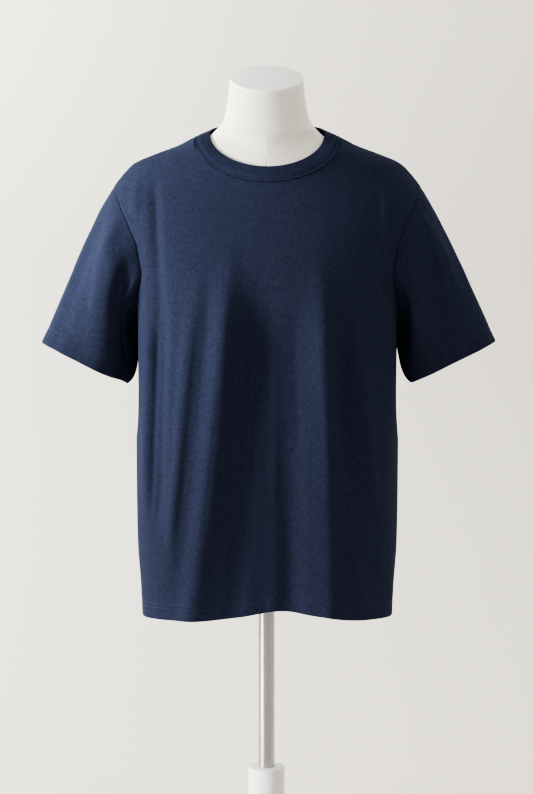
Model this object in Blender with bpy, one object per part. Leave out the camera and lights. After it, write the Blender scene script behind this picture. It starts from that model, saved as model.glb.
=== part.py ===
"""A crew neck t-shirt on a limbless dress form, which stands on a pole, a post and a round base.

Metres, +Z up. The floor is Z = 0, the stand's axis is X = Y = 0 and the shirt's front faces -Y.
Left and right are the wearer's, so the left sleeve lies at +X.

Each sewn piece is a thin closed wall round a middle surface. The middle surface is a grid of
points: row 0 is the piece's top edge and the last row its hem. Two pieces that are sewn together
share the points and the surface directions of their seam, and each stops half a gap short of it.
"""

import math

import bmesh
import bpy
import numpy as np

# Edges that turn by more than this many degrees are drawn sharp
SHARP_ANGLE = 50

# Cloth
CLOTH = 0.0018
BAND_CLOTH = 0.0024
SEAM_GAP = 0.0005
SHIRT_SHIFT_X = 0.0012

# Grid of each panel: columns in a quarter of the width, and rows above and below the armpit
QUARTER = 12
ARM_ROWS = 12
SIDE_ROWS = 13
SLEEVE_ROWS = 9
BAND_ROWS = 3

# The columns of a panel drift outwards on their way to the hem, as its folds do
COLUMN_DRIFT = 0.45

# Heights of the shirt's landmarks
NECK_POINT_Z = 1.4442
ARM_TOP_Z = 1.3690
ARMPIT_Z = 1.1650
SIDE_HEM_Z = 0.7196

# The hem rises with its distance in front of or behind the side seams
HEM_SLOPE = 0.11
HEM_LEVEL = 0.16

# Neckline, where the band is sewn on, and the band's free inner edge
NECKLINE_HALF = 0.1060
NECKLINE_DROP_FRONT = 0.0595
NECKLINE_DROP_BACK = 0.0085
NECKLINE_BEND_BACK = 1.6
BAND_HALF = 0.0866
BAND_FRONT_Y = 0.0755
BAND_BACK_Y = 0.0640
BAND_SIDE_Z = 1.4490
BAND_DROP_FRONT = 0.0475
BAND_RISE_BACK = 0.0080
BAND_SQUARE = 0.85
BAND_ROUND = 0.0012

# The armpit pulls the side seam in by this reach, front to back
PULL_REACH = 0.034

# Sleeves: half the depth of the cuff, how much the underarm leans off the body, and how far
# the cuff's front edge rises along the sleeve
CUFF_HALF_DEPTH = 0.046
SLEEVE_CLEAR = 0.50
CUFF_FRONT_RISE = 0.004

# Dress form
FORM_TURNS = 44
FORM_BOTTOM_Z = 0.800
CAP_THICK = 0.005
CAP_EDGE = 0.0012
CAP_TILT = math.radians(19.4)
CAP_HALF_WIDTH = 0.0542
CAP_HALF_DEPTH = 0.0520

# Stand
PART_GAP = 0.0003
POLE_RADIUS = 0.0125
POLE_CLEARANCE = 0.0001
POLE_LOW_Z = 0.225
FLANGE_RADIUS = 0.045
FLANGE_THICK = 0.006
HUB_RADIUS = 0.020
HUB_LENGTH = 0.035
POST_RADIUS = 0.0280
POST_WALL = 0.004
POST_TOP_Z = 0.4770
POST_COLLAR = 0.036
POST_FLOOR = 0.006
POST_EDGE = 0.0012
BASE_RADIUS = 0.180
BASE_THICK = 0.012
BASE_EDGE = 0.002
ROUND_SEGMENTS = 48


def curve_through(xs, ys, at):
    """Values at `at` on a smooth curve through the points that never overshoots them."""
    at = np.clip(at, xs[0], xs[-1])
    step = np.diff(xs)
    slope = np.diff(ys) / step
    lean = np.concatenate([slope[:1], np.zeros(len(xs) - 2), slope[-1:]])
    same_way = slope[:-1] * slope[1:] > 0
    weight_a = (2 * step[1:] + step[:-1])[same_way]
    weight_b = (step[1:] + 2 * step[:-1])[same_way]
    before, after = slope[:-1][same_way], slope[1:][same_way]
    lean[1:-1][same_way] = (weight_a + weight_b) / (weight_a / before + weight_b / after)
    i = np.clip(np.searchsorted(xs, at) - 1, 0, len(xs) - 2)
    t = (at - xs[i]) / step[i]
    return (
        ys[i] * (1 + 2 * t) * (1 - t) ** 2
        + step[i] * lean[i] * t * (1 - t) ** 2
        + ys[i + 1] * t**2 * (3 - 2 * t)
        + step[i] * lean[i + 1] * t**2 * (t - 1)
    )


class Table:
    """Rows of named columns, read between the rows along the first column."""

    def __init__(self, names, *rows):
        self.names = names.split()
        rows = np.array(sorted(rows), float)
        self.columns = dict(zip(self.names, rows.T))

    def at(self, name, where):
        return curve_through(self.columns[self.names[0]], self.columns[name], where)

    def rows(self):
        return [dict(zip(self.names, row)) for row in zip(*self.columns.values())]


# Half the shirt's width at each height: the shoulder's ridge, the sleeve's root and the side
OUTLINE = Table(
    "height half_width",
    (1.4600, 0.0760),
    (1.4490, 0.0880),
    (1.4442, 0.1060),
    (1.4304, 0.1345),
    (1.4170, 0.1703),
    (1.4050, 0.1975),
    (1.3880, 0.2150),
    (1.3708, 0.2282),
    (1.3565, 0.2365),
    (1.3400, 0.2390),
    (1.3200, 0.2365),
    (1.2800, 0.2190),
    (1.2400, 0.2050),
    (1.2000, 0.2005),
    (1.1650, 0.2005),
    (1.0400, 0.1975),
    (0.9000, 0.1970),
    (0.8300, 0.1960),
    (0.7700, 0.1920),
    (0.7150, 0.1895),
)

# How far the shirt reaches forward and back, and how square its section is (2 is an ellipse)
DEPTH = Table(
    "height front back square",
    (1.4600, 0.0535, 0.0600, 1.65),
    (1.4442, 0.0590, 0.0715, 1.60),
    (1.4170, 0.0690, 0.0910, 1.62),
    (1.3835, 0.0850, 0.1055, 1.78),
    (1.3400, 0.1045, 0.1165, 2.05),
    (1.2800, 0.1225, 0.1237, 2.35),
    (1.2200, 0.1315, 0.1240, 2.55),
    (1.1650, 0.1330, 0.1205, 2.65),
    (1.0400, 0.1310, 0.1140, 2.70),
    (0.9000, 0.1290, 0.1120, 2.75),
    (0.7150, 0.1265, 0.1160, 2.80),
)

# The armhole seam from the shoulder (turn 0) to the armpit (turn 1): how far it lies forward and back
ARMHOLE = Table(
    "turn height front back",
    (0.000, 1.3690, 0.0000, 0.0000),
    (0.101, 1.3600, 0.0260, 0.0270),
    (0.196, 1.3430, 0.0440, 0.0460),
    (0.308, 1.3190, 0.0600, 0.0620),
    (0.436, 1.2870, 0.0705, 0.0710),
    (0.575, 1.2500, 0.0710, 0.0700),
    (0.711, 1.2150, 0.0570, 0.0570),
    (0.846, 1.1850, 0.0340, 0.0350),
    (1.000, 1.1650, 0.0000, 0.0000),
)

# How far the armpit pulls the side seam in
ARMPIT_PULL = Table(
    "height depth",
    (1.3000, 0.0000),
    (1.2600, 0.0030),
    (1.2000, 0.0150),
    (1.1650, 0.0265),
    (1.1200, 0.0200),
    (1.0800, 0.0120),
    (1.0400, 0.0060),
    (0.9900, 0.0000),
)

# How much higher the middle of the hem hangs, by share of the shirt's width
HEM = Table(
    "across front back",
    (-1.00, 0.0000, 0.0000),
    (-0.60, 0.0000, 0.0010),
    (-0.25, 0.0060, 0.0000),
    (0.10, 0.0155, 0.0020),
    (0.40, 0.0080, 0.0005),
    (0.70, 0.0005, 0.0015),
    (1.00, 0.0000, 0.0000),
)

# Folds that hang down a panel, from (top_x, top_z) to (low_x, low_z). A positive height is a ridge.
# bow moves the middle of the line sideways, and stays is 1 where the fold runs on to the hem.
FOLD_COLUMNS = "top_x top_z low_x low_z bow width_top width_low height stays"
FRONT_FOLDS = Table(
    FOLD_COLUMNS,
    (-0.153, 1.250, -0.169, 0.830, 0.001, 0.0115, 0.0095, -0.0090, 0),
    (-0.093, 1.290, -0.148, 0.760, -0.001, 0.0120, 0.0115, 0.0052, 0),
    (-0.083, 1.280, -0.128, 0.760, 0.000, 0.0120, 0.0120, -0.0014, 0),
    (-0.055, 1.310, -0.112, 0.740, 0.007, 0.0170, 0.0190, 0.0115, 1),
    (-0.016, 1.280, -0.050, 0.740, 0.004, 0.0200, 0.0230, -0.0100, 1),
    (0.004, 1.270, -0.008, 0.740, 0.002, 0.0200, 0.0225, -0.0095, 1),
    (0.034, 1.270, 0.036, 0.740, -0.002, 0.0210, 0.0240, -0.0085, 1),
    (0.030, 1.060, 0.028, 0.740, 0.000, 0.0200, 0.0240, -0.0038, 1),
    (0.077, 1.300, 0.094, 0.740, 0.002, 0.0180, 0.0190, 0.0090, 1),
    (0.108, 1.260, 0.125, 0.760, 0.000, 0.0140, 0.0150, -0.0060, 0),
    (0.092, 1.150, 0.143, 0.740, -0.004, 0.0090, 0.0100, 0.0045, 1),
    (0.124, 1.220, 0.160, 0.860, 0.003, 0.0100, 0.0100, 0.0060, 0),
)
BACK_FOLDS = Table(
    FOLD_COLUMNS,
    (-0.142, 1.270, -0.165, 0.740, 0.004, 0.0170, 0.0160, 0.0080, 1),
    (-0.112, 1.250, -0.122, 0.760, 0.000, 0.0190, 0.0210, -0.0075, 0),
    (-0.074, 1.290, -0.083, 0.740, 0.003, 0.0200, 0.0190, 0.0090, 1),
    (-0.030, 1.260, -0.035, 0.740, 0.000, 0.0220, 0.0230, -0.0070, 1),
    (0.012, 1.220, 0.008, 0.800, 0.000, 0.0160, 0.0170, 0.0045, 0),
    (0.048, 1.240, 0.049, 0.740, 0.002, 0.0190, 0.0200, -0.0075, 1),
    (0.086, 1.295, 0.100, 0.740, 0.004, 0.0200, 0.0180, 0.0095, 1),
    (0.122, 1.250, 0.140, 0.760, 0.000, 0.0160, 0.0160, -0.0060, 0),
    (0.150, 1.240, 0.170, 0.740, -0.003, 0.0130, 0.0120, 0.0055, 1),
)

# Sleeve folds: around is 0 at the shoulder, 0.25 in front, 0.5 under the arm and 0.75 behind;
# down is 0 at the armhole and 1 at the cuff
SLEEVE_FOLD_COLUMNS = "around_top down_top around_low down_low width height"
SLEEVE_FOLDS = {
    "sleeve_right": Table(
        SLEEVE_FOLD_COLUMNS,
        (0.085, 0.00, 0.120, 0.95, 0.035, -0.0045),
        (0.200, 0.00, 0.290, 1.00, 0.056, 0.0095),
        (0.312, 0.00, 0.412, 0.95, 0.060, -0.0095),
        (0.700, 0.05, 0.720, 0.90, 0.050, -0.0050),
        (0.820, 0.00, 0.810, 1.00, 0.050, 0.0045),
    ),
    "sleeve_left": Table(
        SLEEVE_FOLD_COLUMNS,
        (0.120, 0.00, 0.150, 0.90, 0.030, 0.0035),
        (0.215, 0.05, 0.250, 0.95, 0.055, -0.0055),
        (0.330, 0.20, 0.340, 0.90, 0.040, 0.0030),
        (0.690, 0.05, 0.700, 0.95, 0.050, -0.0050),
        (0.800, 0.00, 0.830, 1.00, 0.050, 0.0050),
    ),
}

# Outer and inner corner of each cuff, seen from the front
CUFFS = {
    "sleeve_right": {"side": -1, "outer": (0.3395, 1.1362), "inner": (0.2105, 1.0730)},
    "sleeve_left": {"side": 1, "outer": (0.3440, 1.1385), "inner": (0.2165, 1.0750)},
}

# Dress form below the neck
TORSO = Table(
    "height half_width front back square",
    (0.8000, 0.1450, 0.0830, 0.0840, 2.3),
    (0.8060, 0.1580, 0.0930, 0.0950, 2.3),
    (0.8200, 0.1630, 0.0970, 0.1000, 2.3),
    (0.8800, 0.1650, 0.1000, 0.1030, 2.3),
    (0.9600, 0.1570, 0.0990, 0.0960, 2.3),
    (1.0400, 0.1480, 0.0990, 0.0870, 2.3),
    (1.1200, 0.1540, 0.1060, 0.0930, 2.3),
    (1.2000, 0.1650, 0.1160, 0.1060, 2.4),
    (1.2600, 0.1740, 0.1170, 0.1140, 2.4),
    (1.3100, 0.1850, 0.1080, 0.1150, 2.2),
    (1.3500, 0.1950, 0.0950, 0.1090, 1.9),
    (1.3800, 0.1980, 0.0820, 0.1010, 1.70),
    (1.3920, 0.1965, 0.0768, 0.0975, 1.58),
    (1.4022, 0.1915, 0.0728, 0.0940, 1.50),
    (1.4096, 0.1815, 0.0690, 0.0905, 1.46),
    (1.4170, 0.1640, 0.0650, 0.0860, 1.44),
    (1.4304, 0.1270, 0.0580, 0.0765, 1.40),
    (1.4380, 0.1030, 0.0545, 0.0700, 1.40),
    (1.4430, 0.0905, 0.0530, 0.0650, 1.48),
)

# The neck, whose sections lean forward until they lie along the cap
NECK = Table(
    "height half_width front back square lean",
    (1.4475, 0.0828, 0.0522, 0.0615, 1.62, 0.00),
    (1.4525, 0.0775, 0.0518, 0.0590, 1.78, 0.01),
    (1.4580, 0.0725, 0.0518, 0.0572, 1.95, 0.04),
    (1.4640, 0.0676, 0.0515, 0.0558, 2.00, 0.08),
    (1.4720, 0.0637, 0.0515, 0.0550, 2.00, 0.18),
    (1.4850, 0.0602, 0.0515, 0.0542, 2.00, 0.40),
    (1.5000, 0.0580, 0.0515, 0.0532, 2.00, 0.65),
    (1.5150, 0.0563, 0.0515, 0.0525, 2.00, 0.88),
    (1.5272, 0.0548, 0.0518, 0.0522, 2.00, 1.00),
)


def ease(t):
    t = np.clip(t, 0.0, 1.0)
    return t * t * (3 - 2 * t)


def blend(a, b, t):
    return a + (b - a) * t


def unit(v):
    return v / np.maximum(np.linalg.norm(v, axis=-1, keepdims=True), 1e-12)


def point(x, y, z):
    return np.stack(np.broadcast_arrays(x, y, z), axis=-1).astype(float)


def spread(path, shares, also=None):
    """Points at shares of a path's length, with what `also` holds read at the same places."""
    length = np.concatenate([[0.0], np.cumsum(np.linalg.norm(np.diff(path, axis=0), axis=1))])
    at = shares * length[-1]
    placed = np.stack([np.interp(at, length, column) for column in path.T], axis=1)
    return placed if also is None else (placed, np.interp(at, length, also))


def depth_column(face):
    return "front" if face < 0 else "back"


def section_y(x, z, face):
    """How far forward (face -1) or back (face 1) the body's plain surface lies at x and z."""
    square = DEPTH.at("square", z)
    share = np.clip(np.abs(x) / OUTLINE.at("half_width", z), 0.0, 1.0)
    return face * DEPTH.at(depth_column(face), z) * (1 - share**square) ** (1 / square)


def pulled_in(points):
    """Points of the body's plain surface, with the sides drawn in near the armpit."""
    x, y, z = np.moveaxis(points, -1, 0)
    near_side = (np.abs(x) / OUTLINE.at("half_width", z)) ** 6
    pull = ARMPIT_PULL.at("depth", z) * np.exp(-((y / PULL_REACH) ** 2)) * near_side
    return point(x - np.sign(x) * pull, y, z)


def soft_part(value, softness=0.18):
    """value where it is positive, easing to nothing where it is negative."""
    return (value + np.sqrt(value**2 + softness**2)) / 2


def shoulder_ridge(shares):
    """Points (x, 0, z) along the shoulder seam, from the top of the armhole to the neck point."""
    z = np.linspace(ARM_TOP_Z, NECK_POINT_Z, 200)
    return spread(point(OUTLINE.at("half_width", z), 0.0, z), shares)


def half_neckline(face, shares):
    """Points from the neck point to the middle of the front or back, and their turns."""
    end = 0.0 if face < 0 else math.pi
    turn = blend(math.pi / 2, end, np.linspace(0, 1, 400) ** 2)
    middle = np.abs(np.cos(turn))
    if face < 0:
        z = NECK_POINT_Z - NECKLINE_DROP_FRONT * middle
    else:
        z = NECK_POINT_Z - NECKLINE_DROP_BACK * (1 - (1 - middle) ** NECKLINE_BEND_BACK)
    x = NECKLINE_HALF * np.sin(turn)
    y = section_y(x, z, face)
    return spread(point(x, y, z), shares, turn)


def section_path(z, face):
    """A fine path from the side to the middle along the body's plain section at height z."""
    angle = np.linspace(0, math.pi / 2, 300)
    power = 2 / DEPTH.at("square", z)
    x = OUTLINE.at("half_width", z) * np.cos(angle).clip(0) ** power
    y = face * DEPTH.at(depth_column(face), z) * np.sin(angle) ** power
    return point(x, y, z)


def half_section(z, face, shares):
    """Points at shares of the way from the side to the middle of the body's plain section."""
    return spread(section_path(z, face), shares)


def section_share(place, z, face):
    """The share of the way from the side to the middle of the section nearest a place (x, y)."""
    path = section_path(z, face)
    length = np.cumsum(np.linalg.norm(np.diff(path, axis=0), axis=1))
    nearest = np.linalg.norm(path[:, :2] - place, axis=1).argmin()
    return length[nearest - 1] / length[-1] if nearest else 0.0


def armhole_places(face, heights):
    """Points (x, y) of the armhole's edge at each height."""
    turn = np.linspace(0, 1, 300)
    found = np.interp(-heights, -ARMHOLE.at("height", turn), turn)
    y = ARMHOLE.at(depth_column(face), found)
    share = np.clip(y / DEPTH.at(depth_column(face), heights), 0, 1)
    square = DEPTH.at("square", heights)
    x = OUTLINE.at("half_width", heights) * (1 - share**square) ** (1 / square)
    return np.stack([x, face * y], axis=1)


def upper_half(face):
    """Rows from the top edge to the armpit's height, columns from the right side to the middle.

    Near the top a column keeps its own x. Lower down the columns share each section evenly.
    """
    quarter = np.linspace(0, 1, QUARTER + 1)
    shoulder = shoulder_ridge(quarter)
    neckline, turns = half_neckline(face, quarter)
    top = np.vstack([shoulder, neckline[1:]])
    across = np.linspace(0, 1, 2 * QUARTER + 1)
    low = half_section(ARMPIT_Z, face, across)
    steps = np.linspace(0, 1, ARM_ROWS + 1)
    rows = [top]
    for down in (steps**2 * (2 - steps))[1:]:
        edge_z = blend(ARM_TOP_Z, ARMPIT_Z, down)
        edge = armhole_places(face, np.array([edge_z]))[0]
        edge_share = section_share(edge, edge_z, face)
        shifted = edge[0] - blend(top[0, 0], low[0, 0], down)
        row = [point(*edge, edge_z)]
        for i in range(1, len(across)):
            z = blend(top[i, 2], ARMPIT_Z, down)
            x = blend(top[i, 0], low[i, 0], down) + (1 - across[i]) * shifted
            place = np.array([x, section_y(x, z, face)])
            share = section_share(place, z, face)
            even = blend(edge_share, 1.0, across[i])
            share = blend(share, even, ease((down - 0.15) / 0.45))
            row.append(half_section(z, face, np.array([share]))[0])
        rows.append(np.array(row))
    return np.stack(rows), turns


def lower_half(face):
    """Rows from the armpit's height to the hem, columns from the right side to the middle."""
    even = np.linspace(0, 1, 2 * QUARTER + 1)
    rows = []
    for down in np.linspace(0, 1, SIDE_ROWS + 1):
        shares = even * (1 - COLUMN_DRIFT * ease(down) * (1 - even))
        rows.append(half_section(blend(ARMPIT_Z, SIDE_HEM_Z, down), face, shares))
    return np.stack(rows)


def whole_panel(face):
    """The middle surface of the front or back, columns from -X to +X, and the neckline's turns."""
    upper, turns = upper_half(face)
    half = np.concatenate([upper, lower_half(face)[1:]])
    mirrored = half * np.array([-1, 1, 1])
    grid = np.concatenate([mirrored, half[:, -2::-1]], axis=1)
    return raised_hem(pulled_in(grid), face), turns


def hang_share(grid):
    """0 at the armpit's height and above, and 1 at the hem."""
    return ease((ARMPIT_Z - grid[..., 2]) / (ARMPIT_Z - SIDE_HEM_Z))


def raised_hem(grid, face):
    """The rows below the armpit moved so that the last one follows the hem's own height."""
    share = grid[-1, :, 0] / np.abs(grid[-1, :, 0]).max()
    rise = HEM.at(depth_column(face), share) + HEM_SLOPE * np.abs(grid[-1, :, 1])
    grid = grid.copy()
    grid[..., 2] += hang_share(grid) * rise
    return grid


def fold_height(folds, x, z):
    """How far the folds of a panel push its surface out at x and z."""
    total = np.zeros_like(x)
    for fold in folds.rows():
        run = (fold["top_z"] - z) / (fold["top_z"] - fold["low_z"])
        inside = np.clip(run, 0, 1)
        middle = blend(fold["top_x"], fold["low_x"], inside)
        middle = middle + fold["bow"] * np.sin(math.pi * inside)
        width = blend(fold["width_top"], fold["width_low"], inside)
        strength = ease(run / 0.30)
        if not fold["stays"]:
            strength = strength * ease((1 - run) / 0.25)
        total += fold["height"] * strength * np.exp(-(((x - middle) / width) ** 2))
    return total


def surface_directions(grid, around=False):
    """Unit directions square to a grid of points, to the left of its rows as they run down."""
    if around:
        across = np.roll(grid, -1, axis=1) - np.roll(grid, 1, axis=1)
    else:
        across = np.gradient(grid, axis=1)
    return unit(np.cross(across, np.gradient(grid, axis=0)))


def facing_out(directions, outward):
    """The same directions, turned over where they point against `outward`."""
    flip = np.sign((directions * outward).sum(axis=-1, keepdims=True))
    return directions * np.where(flip == 0, 1, flip)


def panel_seams():
    """The sewn edges of a panel: (the edge's rows and columns, the ones a step inside it)."""
    last_row, last = ARM_ROWS + SIDE_ROWS, 4 * QUARTER
    found = []
    for start, end in ((0, QUARTER), (QUARTER, 3 * QUARTER), (3 * QUARTER, last)):
        columns = np.arange(start, end + 1)
        found.append(((0, columns), (1, columns)))
    for start, end in ((0, ARM_ROWS), (ARM_ROWS, last_row)):
        rows = np.arange(start, end + 1)
        found.append(((rows, 0), (rows, 1)))
        found.append(((rows, last), (rows, last - 1)))
    return found


def ring_seam(columns, row, inside):
    """The sewn edge of a tube."""
    every = np.arange(columns)
    return [((row, every), (inside, every))]


class Piece:
    """One sewn piece: its middle surface, the surface's directions and its sewn edges."""

    def __init__(self, name, grid, outward, seams, thick=CLOTH, around=False):
        self.name = name
        self.grid = grid
        self.around = around
        self.thick = thick
        self.seams = seams
        self.directions = facing_out(surface_directions(grid, around), outward)


def rounded(p):
    return tuple(np.round(p, 5) + 0.0)


def share_seams(pieces):
    """Gives the pieces one surface direction at each point of a seam, the mean of their own."""
    meeting = {}
    for piece in pieces:
        seen = set()
        for edge, _ in piece.seams:
            for row, column in np.stack(np.broadcast_arrays(*edge), axis=-1):
                if (row, column) not in seen:
                    seen.add((row, column))
                    meeting.setdefault(rounded(piece.grid[row, column]), []).append((piece, row, column))
    for places in meeting.values():
        mean = unit(sum(piece.directions[row, column] for piece, row, column in places))
        for piece, row, column in places:
            piece.directions[row, column] = mean


def open_seams(piece):
    """Draws each sewn edge back by half the gap, along the piece's own surface."""
    moved = piece.grid.copy()
    for edge, inside in piece.seams:
        line = piece.grid[edge]
        if piece.around:
            along = np.roll(line, -1, axis=0) - np.roll(line, 1, axis=0)
        else:
            along = np.gradient(line, axis=0)
        inward = piece.grid[inside] - line
        for square_to in (unit(along), piece.directions[edge]):
            inward = inward - (inward * square_to).sum(axis=-1, keepdims=True) * square_to
        moved[edge] += unit(inward) * SEAM_GAP / 2
    piece.grid = moved


def material(name, color, roughness, metallic=0.0):
    made = bpy.data.materials.new(name)
    made.use_nodes = True
    shader = made.node_tree.nodes["Principled BSDF"]
    shader.inputs["Base Color"].default_value = (*color, 1.0)
    shader.inputs["Roughness"].default_value = roughness
    shader.inputs["Metallic"].default_value = metallic
    return made


def add_object(name, bm, made_of):
    """A new object from a bmesh, shaded smooth but for its sharp edges."""
    bmesh.ops.recalc_face_normals(bm, faces=bm.faces)
    if bm.calc_volume(signed=True) < 0:
        bmesh.ops.reverse_faces(bm, faces=bm.faces)
    mesh = bpy.data.meshes.new(name)
    bm.to_mesh(mesh)
    bm.free()
    mesh.shade_smooth()
    mesh.set_sharp_from_angle(angle=math.radians(SHARP_ANGLE))
    mesh.materials.append(made_of)
    made = bpy.data.objects.new(name, mesh)
    bpy.context.scene.collection.objects.link(made)
    return made


def add_wall(piece, made_of):
    """A flat slab of one cell for each cell of the grid, laid onto the piece's two faces."""
    rows, columns = piece.grid.shape[:2]
    wide = columns if piece.around else columns - 1
    bm = bmesh.new()
    bmesh.ops.create_grid(bm, x_segments=wide, y_segments=rows - 1, size=0.5)
    for vert in bm.verts:
        vert.co.x = round((vert.co.x + 0.5) * wide)
        vert.co.y = round((vert.co.y + 0.5) * (rows - 1))
    made = bmesh.ops.extrude_face_region(bm, geom=bm.faces[:], use_keep_orig=True)
    outer = [item for item in made["geom"] if isinstance(item, bmesh.types.BMVert)]
    bmesh.ops.translate(bm, verts=outer, vec=(0, 0, 1))
    if piece.around:
        ends = [face for face in bm.faces if abs(face.normal.x) > 0.5]
        bmesh.ops.delete(bm, geom=ends, context="FACES_ONLY")
    for vert in bm.verts:
        column, row, outside = (round(value) for value in vert.co)
        column %= columns
        push = piece.directions[row, column] * piece.thick * (outside - 0.5)
        vert.co = piece.grid[row, column] + push
    if piece.around:
        bmesh.ops.remove_doubles(bm, verts=bm.verts, dist=1e-6)
    return add_object(piece.name, bm, made_of)


def make_panels():
    """The front and the back, and the neckline's turns for each."""
    panels, turns = {}, {}
    for name, face, folds in (("front", -1, FRONT_FOLDS), ("back", 1, BACK_FOLDS)):
        grid, turns[name] = whole_panel(face)
        out = facing_out(surface_directions(grid), grid * np.array([1, 1, 0]))
        off_seams = ease((np.abs(grid[..., 1]) - 0.02) / 0.05)[..., None]
        height = fold_height(folds, grid[..., 0], grid[..., 2])[..., None]
        grid = grid + out * height * off_seams
        grid[..., 2] += HEM_LEVEL * (height * off_seams)[..., 0] * hang_share(grid)
        panels[name] = Piece(name, grid, grid * np.array([1, 1, 0]), panel_seams())
    return panels, turns


def armhole_loop(values, side):
    """What the panels hold along an armhole, from the shoulder by the front and armpit to the back."""
    column = 0 if side < 0 else -1
    front = values["front"][: ARM_ROWS + 1, column]
    back = values["back"][: ARM_ROWS + 1, column]
    return np.vstack([front, back[-2:0:-1]])


def make_sleeve(name, panels):
    """A tube from the armhole to the cuff, which leaves the shoulder along the shoulder's slope."""
    cuff = CUFFS[name]
    side = cuff["side"]
    start = armhole_loop({name: panel.grid for name, panel in panels.items()}, side)
    off_body = armhole_loop({name: panel.directions for name, panel in panels.items()}, side)
    count = len(start)
    angle = np.linspace(0, 2 * math.pi, count, endpoint=False)
    outer, inner = (point(side * corner[0], 0.0, corner[1]) for corner in (cuff["outer"], cuff["inner"]))
    middle = (outer + inner) / 2
    half = (outer - inner) / 2
    down = unit(point(-half[2] * -side, 0.0, -abs(half[0])))
    forward = np.sin(angle)[:, None]
    end = middle + half * np.cos(angle)[:, None]
    end = end + point(0, -CUFF_HALF_DEPTH, 0) * forward - down * CUFF_FRONT_RISE * forward
    top_way, under_way = point(side * 0.54, 0, -0.84), point(side * 0.84, 0, -0.54)
    under = (1 - np.cos(angle)[:, None]) / 2
    leave = unit(blend(top_way, under_way, under) + off_body * under * SLEEVE_CLEAR)
    arrive = unit(blend(down, point(side * 0.80, 0, -0.60), under**2))
    reach = np.linalg.norm(end - start, axis=1, keepdims=True)
    rows = []
    for t in np.linspace(0, 1, SLEEVE_ROWS + 1):
        rows.append(
            start * (1 + 2 * t) * (1 - t) ** 2
            + reach * leave * t * (1 - t) ** 2
            + end * t**2 * (3 - 2 * t)
            + reach * arrive * t**2 * (t - 1)
        )
    grid = np.stack(rows)
    centre = grid.mean(axis=1, keepdims=True)
    out = facing_out(surface_directions(grid, around=True), grid - centre)
    around = angle / (2 * math.pi)
    along = np.linspace(0, 1, SLEEVE_ROWS + 1)
    grid = grid + out * sleeve_fold_height(SLEEVE_FOLDS[name], around, along)[..., None]
    return Piece(name, grid, grid - centre, ring_seam(count, 0, 1), around=True)


def sleeve_fold_height(folds, around, along):
    """How far a sleeve's folds push it out, for each row and column of its grid."""
    down, turn = np.meshgrid(along, around, indexing="ij")
    total = np.zeros_like(down)
    for fold in folds.rows():
        run = (down - fold["down_top"]) / (fold["down_low"] - fold["down_top"])
        middle = blend(fold["around_top"], fold["around_low"], np.clip(run, 0, 1))
        strength = ease(down / 0.25) * ease(run / 0.25) * (1 - 0.5 * ease((run - 0.6) / 0.4))
        total += fold["height"] * strength * np.exp(-(((turn - middle) / fold["width"]) ** 2))
    return total


def make_neckband(panels, turns):
    """The band, from its free edge down to the neckline, as a ring from the right side by the front."""
    first, last = QUARTER, 3 * QUARTER
    front = panels["front"].grid[0, first : last + 1]
    back = panels["back"].grid[0, first : last + 1]
    low = np.vstack([front, back[-2:0:-1]])
    half_front = turns["front"]
    half_back = turns["back"]
    quarter_turns = [half_front, -half_front[-2::-1], -half_back[1:], half_back[-2:0:-1]]
    turn = np.concatenate(quarter_turns)
    turn = turn[: len(low)]
    forward = np.cos(turn)
    deep = np.where(forward > 0, BAND_FRONT_Y, -BAND_BACK_Y)
    high_y = -deep * np.abs(forward) ** BAND_SQUARE
    front_drop = BAND_DROP_FRONT * (soft_part(forward) - soft_part(0.0))
    back_rise = BAND_RISE_BACK * (soft_part(-forward) - soft_part(0.0))
    high = point(-BAND_HALF * np.sin(turn), high_y, BAND_SIDE_Z - front_drop + back_rise)
    rows = [blend(high, low, t) for t in np.linspace(0, 1, BAND_ROWS + 1)]
    grid = np.stack(rows)
    upward = point(0, 0, 1) + unit(grid * np.array([1, 1, 0]))
    out = facing_out(surface_directions(grid, around=True), upward)
    bulge = np.sin(np.linspace(0, math.pi, BAND_ROWS + 1))[:, None, None] * BAND_ROUND
    seam = ring_seam(len(low), BAND_ROWS, BAND_ROWS - 1)
    return Piece("neckband", grid + out * bulge, upward, seam, BAND_CLOTH, around=True)


def make_shirt():
    panels, turns = make_panels()
    pieces = list(panels.values())
    pieces += [make_sleeve(name, panels) for name in CUFFS]
    pieces.append(make_neckband(panels, turns))
    share_seams(pieces)
    for piece in pieces:
        open_seams(piece)
        piece.grid = piece.grid + point(SHIRT_SHIFT_X, 0, 0)
    navy = material("navy_jersey", (0.018, 0.032, 0.085), 0.85)
    rib = material("navy_rib", (0.014, 0.026, 0.070), 0.85)
    for piece in pieces:
        add_wall(piece, rib if piece.name == "neckband" else navy)


def add_loft(name, rings, made_of):
    """A closed form through level rings, made from a sphere's own rings."""
    bm = bmesh.new()
    bmesh.ops.create_uvsphere(bm, u_segments=FORM_TURNS, v_segments=len(rings) + 1, radius=1.0)
    for vert in bm.verts:
        level = round(math.acos(max(-1.0, min(1.0, vert.co.z))) / math.pi * (len(rings) + 1))
        if level in (0, len(rings) + 1):
            ring = rings[0] if level else rings[-1]
            vert.co = ring.mean(axis=0)
            continue
        turn = math.atan2(vert.co.y, vert.co.x) / (2 * math.pi) * FORM_TURNS
        vert.co = rings[len(rings) - level][round(turn) % FORM_TURNS]
    return add_object(name, bm, made_of)


def oval_ring(half_width, front, back, square, height, tilt=0.0):
    """Points round one section, whose plane leans forward by `tilt`."""
    turn = 2 * math.pi * np.arange(FORM_TURNS) / FORM_TURNS
    cos, sin = np.cos(turn), np.sin(turn)
    x = half_width * np.sign(cos) * np.abs(cos) ** (2 / square)
    y = np.where(sin < 0, front, back) * np.sign(sin) * np.abs(sin) ** (2 / square)
    return point(x, y * math.cos(tilt), height + y * math.sin(tilt))


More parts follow.
